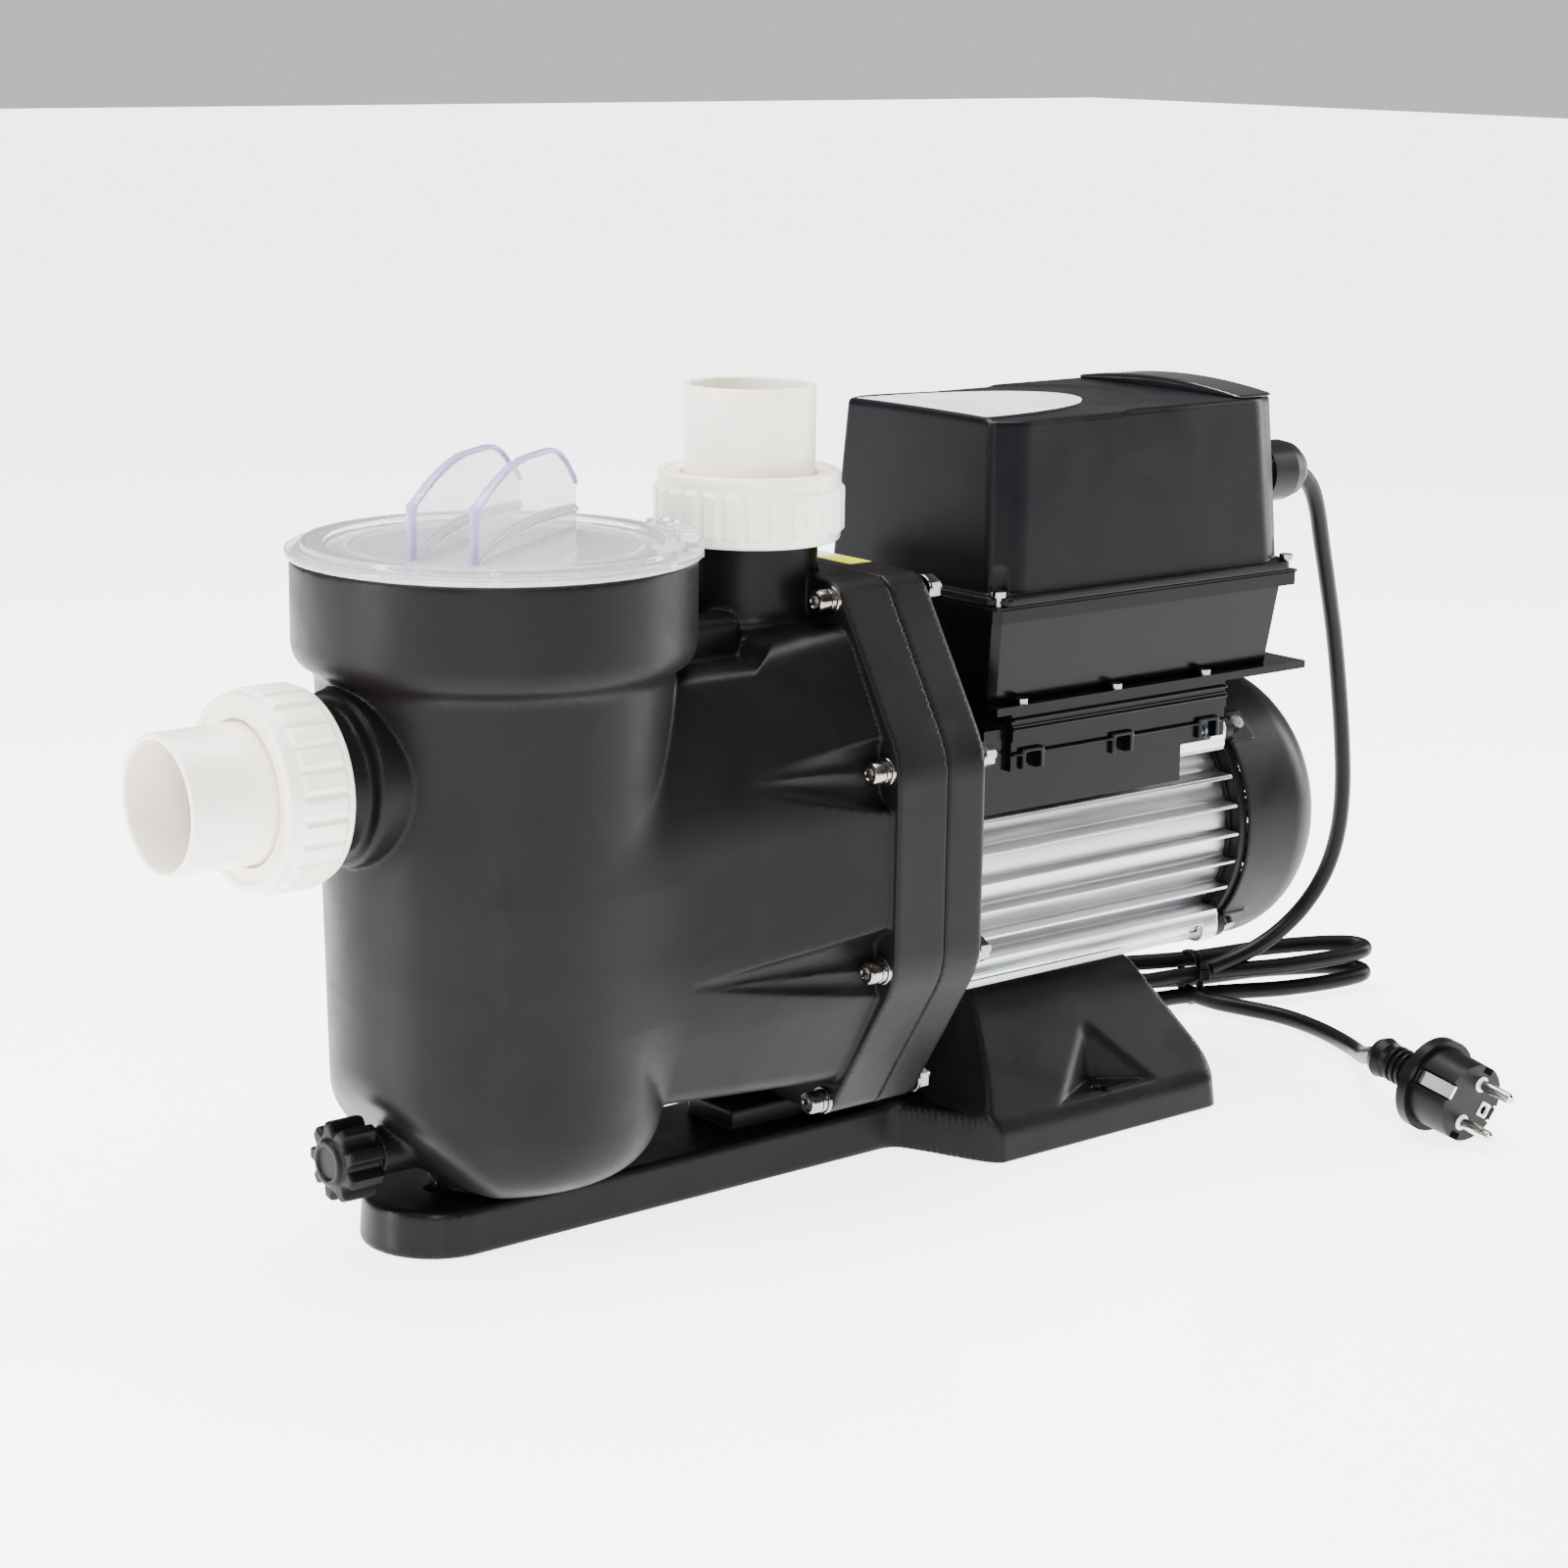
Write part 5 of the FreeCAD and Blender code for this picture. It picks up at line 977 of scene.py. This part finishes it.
def cable_tie():
    """A flat strap pulled round the waist of the hank, with its head on one side and a short tail."""
    mesh = bpy.data.meshes.new("tie")
    shape = bmesh.new()
    steps = 48
    rows = []
    for step in range(steps):
        turn = 2 * math.pi * step / steps
        w = 9.6 * math.copysign(abs(math.cos(turn)) ** 0.7, math.cos(turn))
        z = 13.7 + 12.9 * math.copysign(abs(math.sin(turn)) ** 0.8, math.sin(turn))
        rows.append((w, z))
    rings = []
    for w, z in rows:
        ring = []
        for u, grow in ((-2.3, 1.0), (-2.0, 1.07), (2.0, 1.07), (2.3, 1.0)):
            ring.append(shape.verts.new((u, w * grow, 13.7 + (z - 13.7) * grow)))
        rings.append(ring)
    for first, second in zip(rings, rings[1:] + rings[:1]):
        for k in range(3):
            shape.faces.new((first[k], first[k + 1], second[k + 1], second[k]))
        shape.faces.new((first[3], first[0], second[0], second[3]))
    head = bmesh.ops.create_cube(shape, size=1.0)["verts"]
    bmesh.ops.scale(shape, verts=head, vec=(5.6, 5.0, 5.6))
    bmesh.ops.translate(shape, verts=head, vec=(0, -12.6, 18.5))
    tail = bmesh.ops.create_cube(shape, size=1.0)["verts"]
    bmesh.ops.scale(shape, verts=tail, vec=(4.2, 1.2, 7.0))
    bmesh.ops.translate(shape, verts=tail, vec=(0, -13.5, 22.0))
    shape.to_mesh(mesh)
    shape.free()
    mesh.transform(Matrix.Scale(MM, 4))
    piece = bpy.data.objects.new("tie_strap", mesh)
    bpy.context.collection.objects.link(piece)
    place = Matrix.Translation((HANK_WAIST[0] * MM, HANK_WAIST[1] * MM,
                                0)) @ Matrix.Rotation(HANK_TURN, 4, "Z")
    mesh.transform(place)
    round_edges(piece, 0.4)
    finish_piece(dress(piece, "tray_black"), "root", "rotor_plastic", "cable_tie")
    return piece


# ---------------------------------------------------------------- carried-over CAD nodes


def round_edges(piece, width, segments=3, angle=32):
    bevel = piece.modifiers.new("edges", "BEVEL")
    bevel.width = width * MM
    bevel.segments = segments
    bevel.limit_method = "ANGLE"
    bevel.angle_limit = math.radians(angle)
    bevel.harden_normals = False
    for face in piece.data.polygons:
        face.use_smooth = True
    weighted = piece.modifiers.new("shade", "WEIGHTED_NORMAL")
    weighted.keep_sharp = True
    return piece


FINISHES = {
    "stainless": ("base_screws", "bearing_front",
                  "bearing_rear", "shaft", "fan_cover_screws", "box_cover_screws", "box_flange_screws"),
    "zinc": ("tie_rods",),
    "raw_aluminium": ("motor_front_shield",),
    "cover_black": ("motor_rear_shield", "gland_nut", "cable_gland"),
    "tray_black": ("lower_box", "terminal_bracket", "skirt_plate"),
    "rubber": ("casing_o_ring", "lid_o_ring", "inlet_o_ring", "outlet_o_ring", "drain_gasket",
               "box_gasket"),
    "inner_black": ("diffuser", "impeller", "seal_head", "fan", "capacitor"),
    "basket": ("strainer_basket",),
    "copper": ("windings",),
    "laminations": ("stator", "rotor_core"),
    "ceramic": ("seal_seat",),
    "board": ("circuit_board",),
    "sticker": ("casing_label",),
    "cord_black": ("plug_body",),
    "nickel": ("plug_pins", "plug_earth_clips"),
    "white_collar": ("plug_collars",),
}
BEVELS = {"box_cover": 1.6, "lower_box": 0.7, "terminal_bracket": 0.5, "motor_rear_shield": 0.9,
          "casing_bolts": 0.45, "casing_nuts": 0.35, "casing_washers": 0.2, "gland_nut": 0.6, "cable_gland": 0.5,
          "plug_body": 0.5, "box_cover_screws": 0.5, "box_flange_screws": 0.7, "rear_cap": 0.8,
          "fan_cover_screws": 0.5, "motor_front_shield": 0.6, "skirt_plate": 0.3, "control_label": 0.2}


def carried_over():
    for finish, names in FINISHES.items():
        for name in names:
            node = NODES[name]
            node.data.materials.clear()
            node.data.materials.append(MATERIALS[finish])
            if name in BEVELS:
                round_edges(node, BEVELS[name])


# ---------------------------------------------------------------- stage, light and camera


def stage():
    """A pale glossy table, and a world that is white behind the object and dark in front of it."""
    floor_mesh = bpy.data.meshes.new("floor")
    shape = bmesh.new()
    bmesh.ops.create_grid(shape, x_segments=2, y_segments=2, size=12)
    shape.to_mesh(floor_mesh)
    shape.free()
    floor = bpy.data.objects.new("floor", floor_mesh)
    bpy.context.collection.objects.link(floor)
    made = Shader("floor_white", (0.9, 0.905, 0.91), 0.1, Emission_Color=(0.97, 0.985, 1, 1),
                  Emission_Strength=3.9)
    made.roughness(made.noise(3, 2, 0.5), 0.3, 0.7, 0.08, 0.14)
    floor.data.materials.append(made.material)
    floor.location = (0, 0, -0.0003)
    world = bpy.data.worlds.new("studio")
    world.use_nodes = True
    tree = world.node_tree
    way = tree.nodes.new("ShaderNodeTexCoord").outputs["Generated"]
    toward = tree.nodes.new("ShaderNodeVectorMath")
    toward.operation = "DOT_PRODUCT"
    toward.inputs[1].default_value = Vector((0.52, 0.62, 0.58)).normalized()
    tree.links.new(way, toward.inputs[0])
    reach = tree.nodes.new("ShaderNodeMapRange")
    for name, value in (("From Min", -0.35), ("From Max", 0.75), ("To Min", 0.15), ("To Max", 6.0)):
        reach.inputs[name].default_value = value
    tree.links.new(toward.outputs["Value"], reach.inputs["Value"])
    rays = tree.nodes.new("ShaderNodeLightPath")
    seen = tree.nodes.new("ShaderNodeMath")
    seen.operation = "MAXIMUM"
    tree.links.new(rays.outputs["Is Camera Ray"], seen.inputs[0])
    tree.links.new(rays.outputs["Is Transmission Ray"], seen.inputs[1])
    strength = tree.nodes.new("ShaderNodeMix")
    tree.links.new(seen.outputs["Value"], strength.inputs["Factor"])
    tree.links.new(reach.outputs["Result"], strength.inputs["A"])
    strength.inputs["B"].default_value = 14.0
    tree.links.new(strength.outputs["Result"], tree.nodes["Background"].inputs["Strength"])
    bpy.context.scene.world = world


def softbox(name, place, target, size, power):
    data = bpy.data.lights.new(name, "AREA")
    data.shape = "RECTANGLE"
    data.size, data.size_y = size
    data.energy = power
    lamp = bpy.data.objects.new(name, data)
    lamp.location = place
    lamp.rotation_euler = (Vector(target) - Vector(place)).to_track_quat("-Z", "Y").to_euler()
    bpy.context.collection.objects.link(lamp)


def lights():
    middle = (0.15, 0, 0.15)
    softbox("top_light", (0.1, 0.3, 1.9), middle, (1.8, 1.6), 130)
    softbox("left_light", (-1.9, 0.5, 0.8), middle, (0.4, 1.5), 80)
    softbox("front_light", (-1.05, -1.6, 1.1), middle, (0.22, 1.0), 34)
    softbox("right_light", (2.2, -0.5, 0.8), middle, (0.3, 1.3), 50)


def camera():
    """At the photograph's viewing angle: azimuth from +Y towards +X, looking slightly down."""
    azimuth, elevation, roll = math.radians(39.3), math.radians(13.0), math.radians(0.8)
    focal_over_width = 3479.3 / 1600
    place = Vector((-0.75269, -1.10171, 0.49249))
    look = Vector((math.sin(azimuth) * math.cos(elevation), math.cos(azimuth) * math.cos(elevation),
                   -math.sin(elevation)))
    right = Vector((math.cos(azimuth), -math.sin(azimuth), 0))
    up = right.cross(look)
    right, up = (right * math.cos(roll) + up * math.sin(roll),
                 up * math.cos(roll) - right * math.sin(roll))
    data = bpy.data.cameras.new("camera")
    data.sensor_width = 36
    data.lens = 36 * focal_over_width
    made = bpy.data.objects.new("camera", data)
    made.matrix_world = Matrix((
        (right.x, up.x, -look.x, place.x), (right.y, up.y, -look.y, place.y),
        (right.z, up.z, -look.z, place.z), (0, 0, 0, 1)))
    bpy.context.collection.objects.link(made)
    bpy.context.scene.camera = made


def build():
    pump_housing()
    seal_plate()
    base()
    drain_plug()
    union_nut("inlet_nut", "x", (0, INLET_Z), -1, "inlet_nut")
    union_nut("outlet_nut", "z", (OUTLET_X, 0), 1, "outlet_nut")
    union_tail("inlet_tail", "x", (0, INLET_Z), -1, "inlet_pipe")
    union_tail("outlet_tail", "z", (OUTLET_X, 0), 1, "outlet_pipe")
    lid()
    motor_housing()
    fan_cover()
    fasteners()
    box_cover()
    small_parts()
    plug_details()
    carried_over()
    cords()
    stage()
    lights()
    camera()


build()
